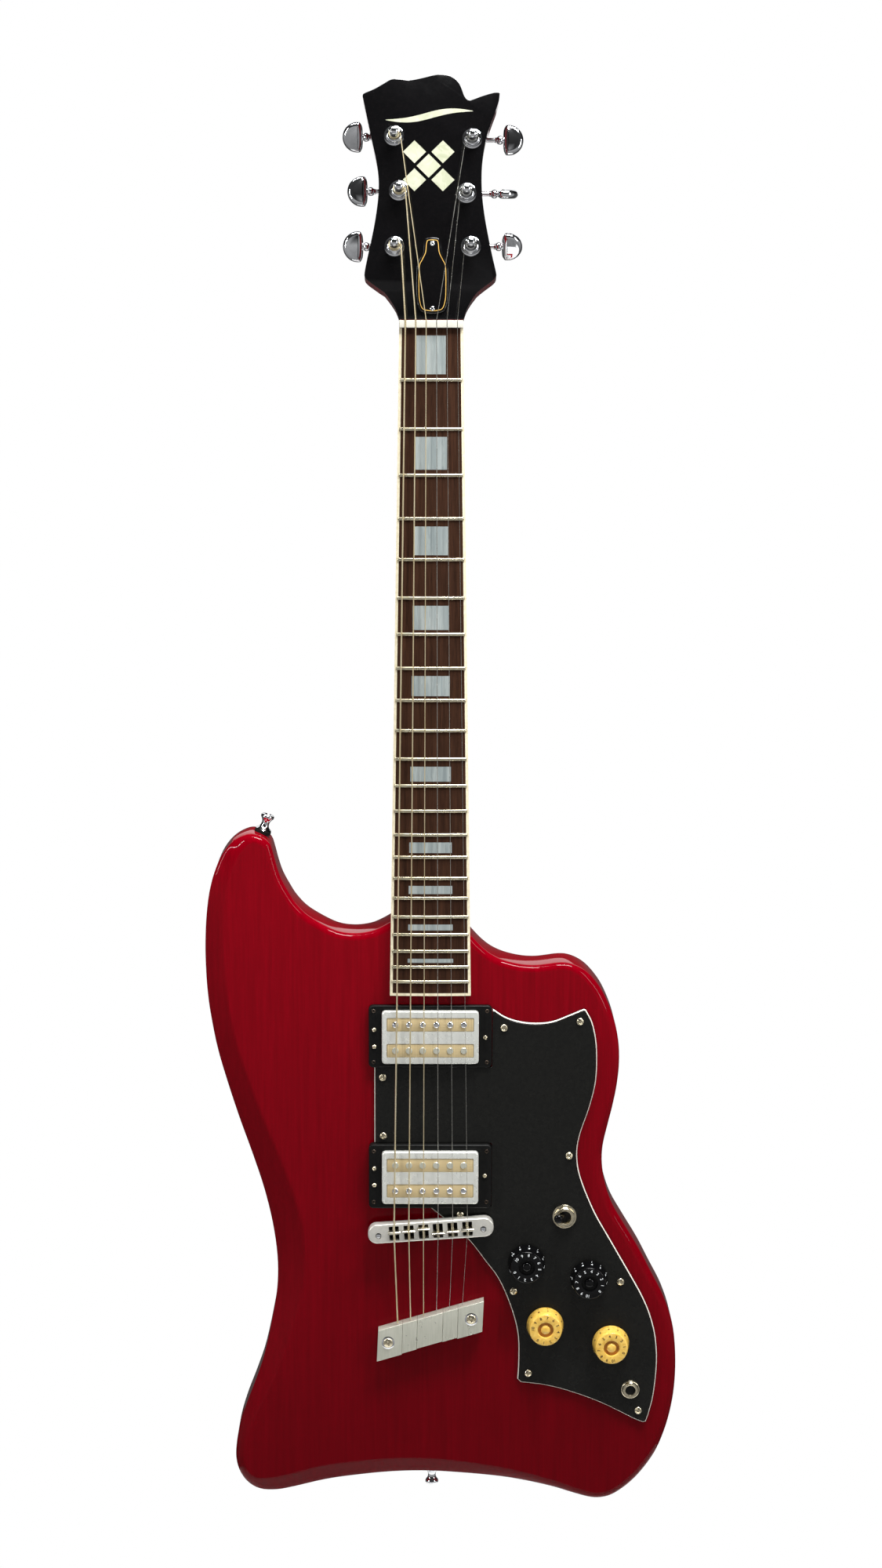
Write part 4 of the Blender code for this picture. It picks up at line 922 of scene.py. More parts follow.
def make_truss_parts():
    ends = [Vector((0, TRUSS_ROD[end], TRUSS_ROD["h"])) for end in ("from_u", "to_u")]
    piece("truss_rod_steel", tube(ends, TRUSS_ROD["radius"]), NECK, "steel_plain", "truss_rod")
    outline = smooth(COVER_BELL + tuple((-x, u) for x, u in reversed(COVER_BELL)), 4)
    place = shift(COVER_MIDDLE, 0)
    node = "truss_rod_cover"
    plate = eased_prism(outline, 0.1, COVER_FACE, 0.5, 3)
    piece("truss_cover_plate", moved(plate, place), HEAD, "black_lacquer", node)
    outer, inner = [inset(outline, width) for width in COVER_LINE]
    low, high = COVER_FACE - 0.1, COVER_FACE + 0.04
    line = ring_solid([at_height(outer, low), at_height(outer, high), at_height(inner, high),
                       at_height(inner, low)])
    piece("truss_cover_line", moved(line, place), HEAD, "gold_line", node)
    for label, u in (("lower", 12.6), ("upper", 57.6)):
        screw("truss_cover_screw_" + label, 1.6, 0.6, place @ shift(0, u, low), HEAD, "chrome_bright", node,
              deep=0.4)


# ---- fretboard and nut ----
FRET_ROOT = -0.6
FRET_SHOULDERS = ((0.0, 0.45), (0.35, 0.82), (0.9, 1.0))
INLAY_AFTER_FRET = 5.3
INLAY_BEFORE_FRET = (3.8, 3.0)
INLAY_LEVELS = (-0.8, 0.04)
INLAY_HALF = 9.75
INLAY_GROWTH = 0.014
NUT_TOP = 2.3
NUT_SHOULDERS = ((0, 1.3), (0.4, 0.9), (1.2, 0.8))
NUT_BACK = ((0.0, 0.0), (NUT_THICK - 0.7, 0.0), (NUT_THICK - 0.2, 0.25), (NUT_THICK, 0.7))


def fret_distance(number):
    return SCALE_LENGTH * (1 - 2 ** (-number / 12))


def camber(x):
    return x * x / (2 * BOARD_RADIUS)


def cambered_slab(spans, low, lift=0.0, samples=9):
    """Slab under the cambered board face; spans are (d, x from, x to)."""
    rings = []
    for d, start, end in spans:
        xs = [start + (end - start) * i / (samples - 1) for i in range(samples)]
        rings.append([(x, -d, lift - camber(x)) for x in xs] + [(end, -d, low), (start, -d, low)])
    return loft(rings)


def make_fret(number):
    d = fret_distance(number)
    half = board_half(d) - FRET_SHORT
    stations = [(-half + back, share) for back, share in FRET_SHOULDERS] + [(-half / 2, 1.0), (0, 1.0)]
    stations += [(-x, share) for x, share in reversed(stations[:-1])]
    rings = []
    for x, share in stations:
        ring = [(x, -d - FRET_HALF, FRET_ROOT - camber(x))]
        for step in range(9):
            angle = math.pi * step / 8
            ring.append((x, -d - FRET_HALF * math.cos(angle),
                         FRET_HIGH * share * math.sin(angle) ** 0.8 - camber(x)))
        ring.append((x, -d + FRET_HALF, FRET_ROOT - camber(x)))
        rings.append(ring)
    return loft(rings)


def inlay(number):
    """Pearl block between two frets, wider toward the body."""
    start = fret_distance(number - 1) + INLAY_AFTER_FRET
    end = fret_distance(number) - INLAY_BEFORE_FRET[0 if number < 5 else 1]
    half = INLAY_HALF + INLAY_GROWTH * (start + end) / 2
    return cambered_slab(((start, -half, half), (end, -half, half)), *INLAY_LEVELS)


def make_fretboard():
    ends = (0.3, BOARD_END - BINDING_WIDE)
    wood = [(d, -board_half(d) + BINDING_WIDE, board_half(d) - BINDING_WIDE) for d in ends]
    left = [(d, -board_half(d), -board_half(d) + BINDING_WIDE) for d in ends]
    right = [(d, board_half(d) - BINDING_WIDE, board_half(d)) for d in ends]
    across = [(d, -board_half(d), board_half(d)) for d in (ends[1], BOARD_END)]
    strips = [cambered_slab(run, -BOARD_THICK, samples=4) for run in (left, right)]
    strips.append(cambered_slab(across, -BOARD_THICK))
    frets = [make_fret(number) for number in range(1, FRET_COUNT + 1)]
    blocks = [inlay(number) for number in INLAY_FRETS]
    node = "fretboard"
    piece("fretboard_wood", cambered_slab(wood, -BOARD_THICK), NECK, "rosewood_oil", node)
    piece("fretboard_binding", joined(strips), NECK, "binding_cream", node)
    piece("frets", joined(frets), NECK, "fret_nickel", node, sharp=50)
    piece("fretboard_inlays", joined(blocks), NECK, "block_pearl", node)


def make_nut():
    half = NUT_WIDTH / 2
    points = [(-half, -BOARD_THICK)] + [(-half + x, NUT_TOP - h) for x, h in NUT_SHOULDERS]
    for x, radius in zip(STRING_AT_NUT, STRING_RADIUS):
        crest = NUT_TOP - camber(x)
        floor = STRING_NUT_H - camber(x) - radius - 0.1
        reach = radius + 0.12
        points += [(x - reach, crest), (x - reach, floor), (x + reach, floor), (x + reach, crest)]
    points += [(half - x, NUT_TOP - h) for x, h in reversed(NUT_SHOULDERS)] + [(half, -BOARD_THICK)]
    rings = [[(x, u, h - sink if h > 0 else h) for x, h in points] for u, sink in NUT_BACK]
    piece("nut_block", loft(rings), NECK, "nut_ivory", "nut")


# ---- pickguard ----
GUARD_CLEAR = 0.3
GUARD_BRIDGE_LEFT = -39.6
GUARD_MEETS_RING = 480
# Name, look, lower and upper level, and how far each of those edges stands back.
GUARD_PLIES = (("guard_base_ply", "guard_black", 0.1, 0.9, 0.1, 0.2),
               ("guard_white_ply", "guard_white", 0.9, 1.9, 0.25, 0.95),
               ("guard_top_ply", "guard_black", 1.9, GUARD_TOP, 0.95, 1.45))


def guard_outline():
    """Outer edge, then the straight steps round the two pickup rings."""
    neck_low = RING_NECK["d"] + RING_NECK["half_d"] + GUARD_CLEAR
    bridge_high = RING_BRIDGE["d"] - RING_BRIDGE["half_d"] - GUARD_CLEAR
    bridge_low = RING_BRIDGE["d"] + RING_BRIDGE["half_d"] + GUARD_CLEAR
    right = RING_NECK["half_x"] + GUARD_CLEAR
    inner = [(right, bridge_low), (right, bridge_high), (GUARD_BRIDGE_LEFT, bridge_high),
             (GUARD_BRIDGE_LEFT, neck_low), (right, neck_low)]
    outer = [(max(x, right), d) if d < GUARD_MEETS_RING else (x, d) for x, d in GUARD_EDGE]
    outer[-1] = (outer[-1][0], bridge_low)
    fine = smooth(outer, 4, closed=False, corners=GUARD_CORNERS)
    return down_to_up(fine + inner)


def untangled(outline, loop):
    """The loop with any short side that turned back on itself closed up to almost nothing."""
    for sweep in range(4):
        for i in range(len(loop)):
            j = (i + 1) % len(loop)
            was = Vector(outline[j]) - Vector(outline[i])
            now = Vector(loop[j]) - Vector(loop[i])
            if now.dot(was) <= 0:
                middle = (Vector(loop[i]) + Vector(loop[j])) / 2
                tiny = was.normalized() * 0.01
                loop[i], loop[j] = tuple(middle - tiny), tuple(middle + tiny)
    return loop


def guard_inset(outline, width):
    """Move the free edge inward; the steps against the pickup rings stay where they are."""
    loop = untangled(outline, inset(outline, width))
    free = len(outline) - GUARD_STEPS
    loop[0] = (outline[0][0], loop[0][1])
    loop[free - 1] = (loop[free - 1][0], outline[free - 1][1])
    for i in range(free, len(outline)):
        x, u = outline[i]
        loop[i] = (x + width if x < 0 else x, u)
    return loop


def make_guard():
    outline = guard_outline()
    for name, look, low, high, start, end in GUARD_PLIES:
        lower = at_height(guard_inset(outline, start), low)
        upper = at_height(guard_inset(outline, end), high)
        piece(name, loft([lower, upper]), BODY, look, "pickguard")
    for index, (x, d) in enumerate(GUARD_SCREWS):
        place = shift(x, -d, GUARD_TOP) @ turn(23 + 41 * index, "Z")
        screw("guard_screw_%02d" % (index + 1), 2.7, 1.5, place, BODY, "screw_nickel", "pickguard")


# ---- pickups ----
RING_EASE = 0.9
RING_LIP = 0.5
COVER_GAP = 0.45
COVER_FOOT = -11.9
WINDOW_DEEP = 2.4
PAD_GAP = 0.15
POLE_OFF = -0.5
FLAT_POLE = ((0, 0), (POLE_RADIUS, 0), (POLE_RADIUS, 0.5), (POLE_RADIUS - 0.2, 0.7), (0, 0.75))


def make_ring(node, ring, place):
    high = ring["high"]
    outer = rounded_rectangle(ring["half_x"], ring["half_d"], 3.0)
    inner = rounded_rectangle(COVER_HALF_X + COVER_GAP, COVER_HALF_D + COVER_GAP, 2.4)
    rings = [at_height(outer, 0.1)]
    for away, drop in quarter_round(3):
        rings.append(at_height(inset(outer, RING_EASE * away), high - RING_EASE * drop))
    for away, drop in reversed(quarter_round(2)):
        rings.append(at_height(inset(inner, -RING_LIP * away), high - RING_LIP * drop))
    rings.append(at_height(inner, 0.1))
    piece(node + "_frame", moved(ring_solid(rings), place), BODY, "ring_black", node)
    corners = [(sx, su) for sx in (-1, 1) for su in (-1, 1)]
    for count, (sx, su) in enumerate(corners, 1):
        spot = place @ shift(sx * RING_SCREW_X, su * RING_SCREW_D, high - 0.9) @ turn(37 * count, "Z")
        screw("%s_corner_screw_%d" % (node, count), 1.75, 1.3, spot, BODY, "screw_dark", node, deep=0.4)
    for index, (x, d) in enumerate(ring["lift_screws"]):
        spot = shift(x, -d, high - 0.2) @ turn(20 + 70 * index, "Z")
        screw("%s_lift_screw_%d" % (node, index + 1), 1.7, 1.5, spot, BODY, "screw_nickel", node, deep=0.5)


def make_poles(node, row, adjustable, here, top):
    poles = []
    for k in range(6):
        spot = here @ shift((k - 2.5) * POLE_PITCH + POLE_OFF, 0, top - 0.5) @ turn(15 + 50 * k, "Z")
        pole = domed_head(POLE_RADIUS, 1.4) if adjustable else turned(FLAT_POLE)
        poles.append(moved(pole, spot))
    look = "chrome_bright" if adjustable else "nickel_brushed"
    piece("%s_poles_%s" % (node, row), joined(poles), BODY, look, node)


def make_pickup(side, ring):
    place = shift(0, -ring["d"])
    top = ring["cover"]
    make_ring("pickup_ring_" + side, ring, place)
    node = "pickup_cover_" + side
    window = prism(rounded_rectangle(INSERT_HALF_X, INSERT_HALF_D, 0.9), top - WINDOW_DEEP, top + 3.0)
    windows = [moved(window, place @ shift(0, sign * INSERT_OFF)) for sign in (-1, 1)]
    skin = eased_prism(rounded_rectangle(COVER_HALF_X, COVER_HALF_D, 2.6, 6), COVER_FOOT, top, 1.1, 5)
    piece(node + "_shell", moved(skin, place), BODY, "chrome_satin", node, carved=joined(windows))
    node = "pickup_coils_" + side
    pad = rounded_rectangle(INSERT_HALF_X - PAD_GAP, INSERT_HALF_D - PAD_GAP, 0.8)
    for sign, row in ((1, "upper"), (-1, "lower")):
        here = place @ shift(0, sign * INSERT_OFF)
        shape = eased_prism(pad, top - 2.3, top - 0.25, 0.2, 2)
        piece("%s_insert_%s" % (node, row), moved(shape, here), BODY, "insert_weave", node)
        make_poles(node, row, sign == ring["screw_row"], here, top)


# ---- bridge and string anchor ----
SADDLE_WING = 8.6
SADDLE_STEM = 6.4
WINDOW_WIDE = 7.0
WINDOW_LONG = 10.2
LUG_RADIUS = 1.1
STUD_HOLE = 2.25
STUD_U = -1.2
STUD = ((0, -8), (2.4, -8), (2.4, 3.0), (6.3, 3.0), (6.6, 3.3), (6.6, 4.9), (6.3, 5.2), (1.8, 5.2),
        (1.8, 12.2), (1.6, 12.7), (1.1, 12.9), (0, 12.9))
LENGTH_SCREW_H = BRIDGE_HIGH - 1.6
DECK = BRIDGE_HIGH + 0.15
SADDLE_ENDS = ((-0.5, 0.92), (-0.46, 1.0), (0.46, 1.0), (0.5, 0.92))
ANCHOR_CUTS = (-36.8, *ANCHOR_SEAMS, 37.6)
ANCHOR_STEPS = (0.0, -0.7, -1.2, -0.8, 0.0)
ANCHOR_WASHER = ((0, 0), (4.9, 0), (4.9, 0.35), (4.3, 0.75), (3.2, 0.8), (0, 0.8))
SEAM_HALF = 0.08


def bridge_place():
    x, d = BRIDGE_CENTRE
    return shift(x, -d) @ turn(BRIDGE_SLANT, "Z")


def string_over_saddle(index):
    return SADDLE_STRING_H - camber(SADDLE_X[index])


def make_bridge():
    place = bridge_place()
    inverse = place.inverted()
    window = prism(rounded_rectangle(WINDOW_WIDE / 2, WINDOW_LONG / 2, 0.5, 3), BRIDGE_LOW - 3,
                   BRIDGE_HIGH + 3)
    hole = turned(((0, BRIDGE_HIGH - 2.5), (STUD_HOLE, BRIDGE_HIGH - 2.5), (STUD_HOLE, BRIDGE_HIGH + 3),
                   (0, BRIDGE_HIGH + 3)), 28)
    cuts = [moved(window, place @ shift((inverse @ Vector((x, -d, 0))).x, 0))
            for x, d in zip(SADDLE_X, SADDLE_D)]
    cuts += [moved(hole, place @ shift(sign * BRIDGE_POST_HALF, STUD_U)) for sign in (-1, 1)]
    outline = rounded_rectangle(BRIDGE_LONG / 2, BRIDGE_WIDE / 2, 6.6, 10)
    shape = eased_prism(outline, BRIDGE_LOW, BRIDGE_HIGH, 1.3, 5)
    node = "bridge_frame"
    piece(node + "_plate", moved(shape, place), BODY, "bridge_chrome", node, carved=joined(cuts))
    # Painted shade: a black plate under the saddle windows stands in for the shadow inside the bridge.
    floor = rounded_rectangle(BRIDGE_LONG / 2 - 12, WINDOW_LONG / 2 - 0.1, 0.5, 2)
    floor = prism(floor, BRIDGE_LOW - 0.2, BRIDGE_LOW + 0.5)
    piece(node + "_floor", moved(floor, place), BODY, "ring_black", node)
    for sign, label in ((-1, "bass"), (1, "treble")):
        node = "bridge_post_" + label
        spot = place @ shift(sign * BRIDGE_POST_HALF, STUD_U)
        spun(node + "_stud", STUD, 40, spot, BODY, "chrome_bright", node)


def saddle_block(crest):
    """A stem in the bridge's window and a wider wing that narrows to the string's crest."""
    stem = [(-1.9, BRIDGE_LOW + 1.0), (1.9, BRIDGE_LOW + 1.0), (1.9, DECK - 4.0), (1.0, DECK + 0.1),
            (-1.0, DECK + 0.1), (-1.9, DECK - 4.0)]
    wing = [(-1.15, DECK), (1.15, DECK), (1.15, DECK + 1.6), (0.6, crest - 0.25), (0.35, crest),
            (-0.35, crest), (-0.6, crest - 0.25), (-1.15, DECK + 1.6)]
    blocks = []
    for profile, wide in ((stem, SADDLE_STEM), (wing, SADDLE_WING)):
        middle = (profile[0][1] + crest) / 2
        blocks.append(loft([[(x * wide, u * share, middle + (h - middle) * share) for u, h in profile]
                            for x, share in SADDLE_ENDS]))
    return joined(blocks)


def make_saddles():
    """Wedge-topped blocks, each free to slide along the strings inside its window."""
    place = bridge_place()
    inverse = place.inverted()
    rod_half = WINDOW_LONG / 2 + 0.5
    for index, name in enumerate(STRING_NAMES):
        spot = inverse @ Vector((SADDLE_X[index], -SADDLE_D[index], 0))
        block = saddle_block(string_over_saddle(index) - STRING_RADIUS[index] - 0.05)
        piece("saddle_%s_block" % name, moved(block, place @ shift(spot.x, spot.y)), BODY, "saddle_metal",
              "saddle_" + name, body="saddle_block_" + name)
        rod = tube([Vector((spot.x, u, LENGTH_SCREW_H)) for u in (-rod_half, rod_half)], LUG_RADIUS)
        piece("bridge_length_screw_" + name, moved(rod, place), BODY, "screw_nickel", "bridge_frame")


def anchor_line(x, top):
    """Distance down the guitar of the anchor's upper or lower edge at x."""
    (x0, d0), (x1, d1) = (ANCHOR_EDGE[0], ANCHOR_EDGE[1]) if top else (ANCHOR_EDGE[3], ANCHOR_EDGE[2])
    return d0 + (d1 - d0) * (x - x0) / (x1 - x0)


def make_anchor():
    """Wall and sloping top plate in five strips, with fine seams between them."""
    node = "string_anchor"
    for index in range(5):
        first, last = index == 0, index == 4
        x0, x1 = ANCHOR_CUTS[index] + SEAM_HALF, ANCHOR_CUTS[index + 1] - SEAM_HALF
        low0 = x0 - (1.1 if first else 0.6)
        low1 = x1 - (0.4 if last else 0.6)
        corners = ((x0, -anchor_line(x0, True)), (38.2 if last else x1, -anchor_line(x1, True)),
                   (low1, -anchor_line(low1, False) - ANCHOR_STEPS[index]),
                   (low0, -anchor_line(low0, False) - ANCHOR_STEPS[index]))
        shape = eased_prism(corners, 0.1, ANCHOR_HIGH - 0.02 * abs(index - 2), 0.35, 3)
        piece("%s_plate_%d" % (node, index + 1), shape, BODY, "nickel_brushed", node)
    for label, (x, d) in zip(("bass", "treble"), ANCHOR_SCREWS):
        place = shift(x, -d, ANCHOR_HIGH - 0.6)
        spun("%s_washer_%s" % (node, label), ANCHOR_WASHER, 40, place, BODY, "chrome_bright", node)
        screw("%s_screw_%s" % (node, label), 3.5, 1.5, place @ shift(0, 0, 0.5) @ turn(12, "Z"), BODY,
              "screw_nickel", node, arm=0.5)


# ---- controls ----
NUMERAL_STEP = 30.0
NUMERAL_BOLD = 0.03
NUMERAL_SIZE = 2.9
MARK_THICK = 0.1
NUMERAL_ON_TOP = (0, 9.0, 15.62)
NUMERAL_ON_SIDE = (0, 12.42, 10.0)
TICK_AT = (0, 13.02, 6.2)
TICK_SIZE = (0.3, 1.2)
KNOB_FOOT = (13.2, 5.2)
KNOB_BROW = (11.5, 15.0)
KNOB = ((0, -8.5), (3.0, -8.5), (3.0, 9.0), (9.5, 9.0), (10.2, 3.9), (12.9, 3.9), (13.2, 4.2), KNOB_FOOT,
        (11.54, 14.7), (11.4, 15.1), (11.15, 15.45), (10.7, 15.58), (6.2, 15.6), (5.8, 15.5), (5.6, 15.2),
        (5.5, 13.5), (3.5, 13.5), (3.3, 14.4), (2.9, 15.0), (1.8, 15.4), (0, 15.5))
KNOB_WELL = ((0, 13.3), (5.45, 13.3), (5.45, 13.55), (3.55, 13.56), (0, 13.56))
POT = ((0, -11.5), (12.0, -11.5), (12.0, -0.3), (3.6, -0.3), (3.6, 3.1), (6.2, 3.1), (6.2, 5.2),
       (3.6, 5.2), (3.6, 7.2), (3.3, 7.2), (3.3, -9.0), (0, -9.0))
NUT_SEAT = GUARD_TOP + 0.05
SWITCH_BUSH = ((0, -22.0), (7.0, -22.0), (7.0, -0.3), (5.8, -0.3), (5.8, NUT_SEAT), (8.6, NUT_SEAT),
               (8.7, NUT_SEAT + 0.5), (8.4, NUT_SEAT + 1.1), (7.4, NUT_SEAT + 1.3), (7.3, NUT_SEAT + 1.6),
               (7.1, NUT_SEAT + 2.9), (6.6, NUT_SEAT + 3.4), (4.8, NUT_SEAT + 3.5), (4.5, NUT_SEAT + 3.1),
               (3.7, 0.2), (3.7, -5.0), (0, -5.0))
LEVER_ROD = ((0, -3.5), (1.5, -3.1), (2.8, -1.0), (2.5, 0.8), (1.3, 2.0), (1.2, 14.0), (0, 14.0))
LEVER_CAP = ((0, 13.6), (1.9, 13.6), (2.2, 14.1), (2.5, 15.3), (2.85, 16.8), (3.1, 18.6), (3.15, 19.5),
             (2.9, 20.5), (2.2, 21.2), (1.2, 21.5), (0, 21.6))
JACK = ((0, -20.0), (7.4, -20.0), (7.4, -0.3), (4.9, -0.3), (4.9, NUT_SEAT), (6.5, NUT_SEAT),
        (6.7, NUT_SEAT + 0.4), (6.5, NUT_SEAT + 0.9), (6.0, NUT_SEAT + 1.1), (5.8, NUT_SEAT + 1.4),
        (5.7, NUT_SEAT + 2.4), (5.3, NUT_SEAT + 2.9), (4.3, NUT_SEAT + 3.0), (3.7, NUT_SEAT + 2.8),
        (3.4, NUT_SEAT + 2.3), (3.4, -18.5), (0, -18.5))
# Painted shade: a black plug fills the socket's bore so that the hole reads dark.
JACK_SHADE_PLUG = ((0, -3.0), (3.35, -3.0), (3.35, NUT_SEAT + 1.6), (0, NUT_SEAT + 1.6))


def numeral(text):
    """Closed solid of plain dial numerals, centred on the origin, in millimetres."""
    curve = bpy.data.curves.new("numeral", "FONT")
    curve.body = text
    curve.size = NUMERAL_SIZE
    curve.extrude = MARK_THICK / 2
    curve.offset = NUMERAL_BOLD
    curve.align_x = "CENTER"
    curve.align_y = "CENTER"
    curve.resolution_u = 3
    holder = bpy.data.objects.new("numeral", curve)
    bpy.context.scene.collection.objects.link(holder)
    graph = bpy.context.evaluated_depsgraph_get()
    mesh = bpy.data.meshes.new_from_object(holder.evaluated_get(graph))
    shape = [v.co.copy() for v in mesh.vertices], [tuple(face.vertices) for face in mesh.polygons]
    bpy.data.objects.remove(holder, do_unlink=True)
    bpy.data.curves.remove(curve)
    bpy.data.meshes.remove(mesh)
    return shape




def knob_marks(zero_clock):
    """Numerals round the top and again on the slanted side, with a tick below each."""
    half_x, half_u = TICK_SIZE[0] / 2, TICK_SIZE[1] / 2
    tick = prism(((-half_x, -half_u), (half_x, -half_u), (half_x, half_u), (-half_x, half_u)), 0, MARK_THICK)
    slope = math.degrees(math.atan2(KNOB_FOOT[0] - KNOB_BROW[0], KNOB_BROW[1] - KNOB_FOOT[1]))
    lean = turn(-(90 - slope), "X")
    shapes = []
    for number in range(11):
        around = turn(-(zero_clock - NUMERAL_STEP * number), "Z")
        digit = numeral(str(number))
        shapes.append(moved(digit, around @ shift(*NUMERAL_ON_TOP)))
        shapes.append(moved(digit, around @ shift(*NUMERAL_ON_SIDE) @ lean))
        shapes.append(moved(tick, around @ shift(*TICK_AT) @ lean))
    return joined(shapes)


def make_knob(name, plastic, zero_clock):
    spot = joint_spot("turn_" + name, BODY)
    place = shift(spot.x, spot.y)
    node = "knob_" + name
    body = "dial_" + name
    amber = plastic == "amber"
    spun("pot_%s_case" % name, POT, 24, place, BODY, "steel_plain", "pot_" + name)
    spun(node + "_shell", KNOB, 64, place, BODY, "knob_" + plastic, node, body, sharp=40)
    # Painted shade: on the amber knobs the recess floor is a darker copy of the amber plastic.
    spun(node + "_well", KNOB_WELL, 48, place, BODY, "knob_amber_recess_shaded" if amber else "ring_black", node, body)
    marks = moved(knob_marks(zero_clock), place)
    piece(node + "_numerals", marks, BODY, "print_dark" if amber else "print_white", node, body)


def make_switch():
    spot = joint_spot("flip_selector", BODY)
    place = shift(spot.x, spot.y)
    spun("switch_bushing", SWITCH_BUSH, 48, place, BODY, "screw_nickel", "switch_frame")
    direction = math.radians(SWITCH_LEAN_DIRECTION)
    hinge = Vector((-math.sin(direction), math.cos(direction), 0))
    lean = place @ Matrix.Rotation(math.radians(SWITCH_LEAN), 4, hinge)
    spun("switch_lever_rod", LEVER_ROD, 24, lean, BODY, "screw_nickel", "switch_lever", "selector")
    spun("switch_lever_cap", LEVER_CAP, 32, lean, BODY, "knob_black", "switch_lever", "selector")


def make_jack():
    x, d = JACK_AT
    place = shift(x, -d)
    spun("output_jack_socket", JACK, 40, place, BODY, "screw_nickel", "output_jack")
    # Painted shade: the black plug in the bore stands in for the dark inside the socket.
    spun("output_jack_shade_plug", JACK_SHADE_PLUG, 40, place, BODY, "ring_black", "output_jack")


# ---- tuners ----
BUTTON_LONG_HALF = 10.6
BUTTON_REACH = 10.2
# Height across the button's thickness, and how far its edge stands back there.
BUTTON_LAYERS = ((-3.1, 2.7), (-2.9, 1.8), (-2.4, 1.0), (-1.7, 0.4), (-0.8, 0.0), (0.8, 0.0),
                 (1.7, 0.4), (2.4, 1.0), (2.9, 1.8), (3.1, 2.7))
BUSHING = ((0, -17), (4.8, -17), (4.8, 0.05), (6.9, 0.05), (7.0, 0.4), (6.8, 0.8), (6.2, 1.05),
           (5.5, 1.15), (5.35, 1.3), (5.3, 2.6), (5.1, 3.3), (4.6, 3.8), (3.9, 4.0), (0, 4.0))
STRING_POST = ((0, -24.6), (3.4, -24.6), (3.4, -20.6), (3.0, -20.6), (3.0, 9.4), (2.7, 9.9), (2.55, 10.6),
               (2.6, 11.6), (2.9, 12.2), (3.0, 12.8), (3.0, 14.0), (2.7, 14.8), (2.0, 15.35),
               (1.0, 15.7), (0, 15.75))
BUTTON_SHAFT = ((0, -5.0), (1.6, -5.0), (1.6, 16.0), (1.9, 16.4), (2.0, 17.4), (2.7, 18.0), (3.0, 18.8),
                (3.1, 19.6), (3.0, 20.4), (2.6, 21.1), (2.0, 21.5), (2.0, BUTTON_OUT + 1),
                (0, BUTTON_OUT + 1))
POST_RADIUS = 3.0
COIL_TOP = 7.6
COIL_TURNS = 3
COIL_STEPS = 60
WOUND_STRINGS = 3


def button_outline():
    """Half-moon, flat side toward the headstock; x is outward, y across."""
    points = [(-3.6, -6.5), (-3.9, 0.0), (-3.6, 6.5), (-2.6, 9.2)]
    for step in range(11):
        angle = math.radians(98 - 19.6 * step)
        points.append((BUTTON_REACH * math.cos(angle), BUTTON_LONG_HALF * math.sin(angle)))
    points.append((-2.6, -9.2))
    return smooth(points, 3)


def string_look(index):
    return "string_wound" if index < WOUND_STRINGS else "steel_plain"


def coil(index, side):
    """The string's turns round its post, running down from where it arrives."""
    radius = STRING_RADIUS[index]
    pitch = max(2.1 * radius, 0.5)
    arm = Vector((POST_RADIUS + radius * 0.9, 0, 0))
    path = []
    for step in range(COIL_STEPS + 1):
        angle = -side * 2 * math.pi * COIL_TURNS * step / COIL_STEPS
        drop = Vector((0, 0, COIL_TOP - pitch * COIL_TURNS * step / COIL_STEPS))
        path.append(arm @ Matrix.Rotation(-angle, 3, "Z") + drop)
    return tube(path, radius, 8)


def make_tuner(name, side, button_turn):
    index = STRING_NAMES.index(name)
    post = joint_spot("wind_post_" + name, HEAD)
    place = shift(post.x, post.y)
    node = "tuner_housing_" + name
    case = eased_prism(rounded_rectangle(7.5, 8.2, 2.8, 5), 0.0, 12.0, 1.4, 4)
    case = moved(case, place @ shift(0, 1.5, -HEAD_THICK - 0.1) @ turn(180, "X"))
    piece(node + "_case", case, HEAD, "chrome_bright", node)
    spun(node + "_bushing", BUSHING, 48, place, HEAD, "chrome_bright", node)
    node = "tuner_post_" + name
    body = "post_" + name
    spun(node + "_metal", STRING_POST, 32, place, HEAD, "chrome_bright", node, body)
    piece(node + "_windings", moved(coil(index, side), place), HEAD, string_look(index), node, body)
    node = "tuner_button_" + name
    body = "key_" + name
    worm = place @ shift(0, WORM_OFF, WORM_H)
    spun(node + "_shaft", BUTTON_SHAFT, 28, worm @ turn(90 * side, "Y"), HEAD, "chrome_bright", node, body)
    outline = button_outline()
    wing = loft([at_height(inset(outline, away), h) for h, away in BUTTON_LAYERS])
    flip = turn(180, "Z") if side < 0 else Matrix.Identity(4)
    wing = moved(wing, worm @ shift(side * BUTTON_OUT, 0) @ turn(button_turn, "X") @ flip)
    piece(node + "_wing", wing, HEAD, "chrome_bright", node, body, sharp=60)


# ---- strings ----
def make_string(index, side):
    name = STRING_NAMES[index]
    radius = STRING_RADIUS[index]
    start_x = ANCHOR_X[index]
    start_d = anchor_line(start_x, True) - 0.6 - radius
    post = joint_spot("wind_post_" + name, HEAD)
    reach = 3.6 + radius + 0.3
    nut_x = STRING_AT_NUT[index]
    nut_h = STRING_NUT_H - camber(nut_x)
    path = [TO_MM @ BODY @ Vector((start_x, -start_d, ANCHOR_STRING_H)),
            TO_MM @ BODY @ Vector((SADDLE_X[index], -SADDLE_D[index], string_over_saddle(index))),
            TO_MM @ NECK @ Vector((nut_x, 0, nut_h)),
            TO_MM @ NECK @ Vector((nut_x, NUT_THICK, nut_h)),
            TO_MM @ HEAD @ Vector((post.x - side * reach, post.y, COIL_TOP))]
    piece("string_%s_wire" % name, tube(path, radius, 10), WORLD, string_look(index), "string_" + name)


# ---- studio ----
# Grey of the room that the guitar reflects, from below the floor (0) to overhead (1).
ROOM_GREYS = ((0.0, 120), (0.3, 150), (0.46, 170), (0.54, 120), (0.64, 44), (0.85, 60), (1.0, 100))
ROOM_BEHIND = 0.22
FLOOR_DROP = 0.42
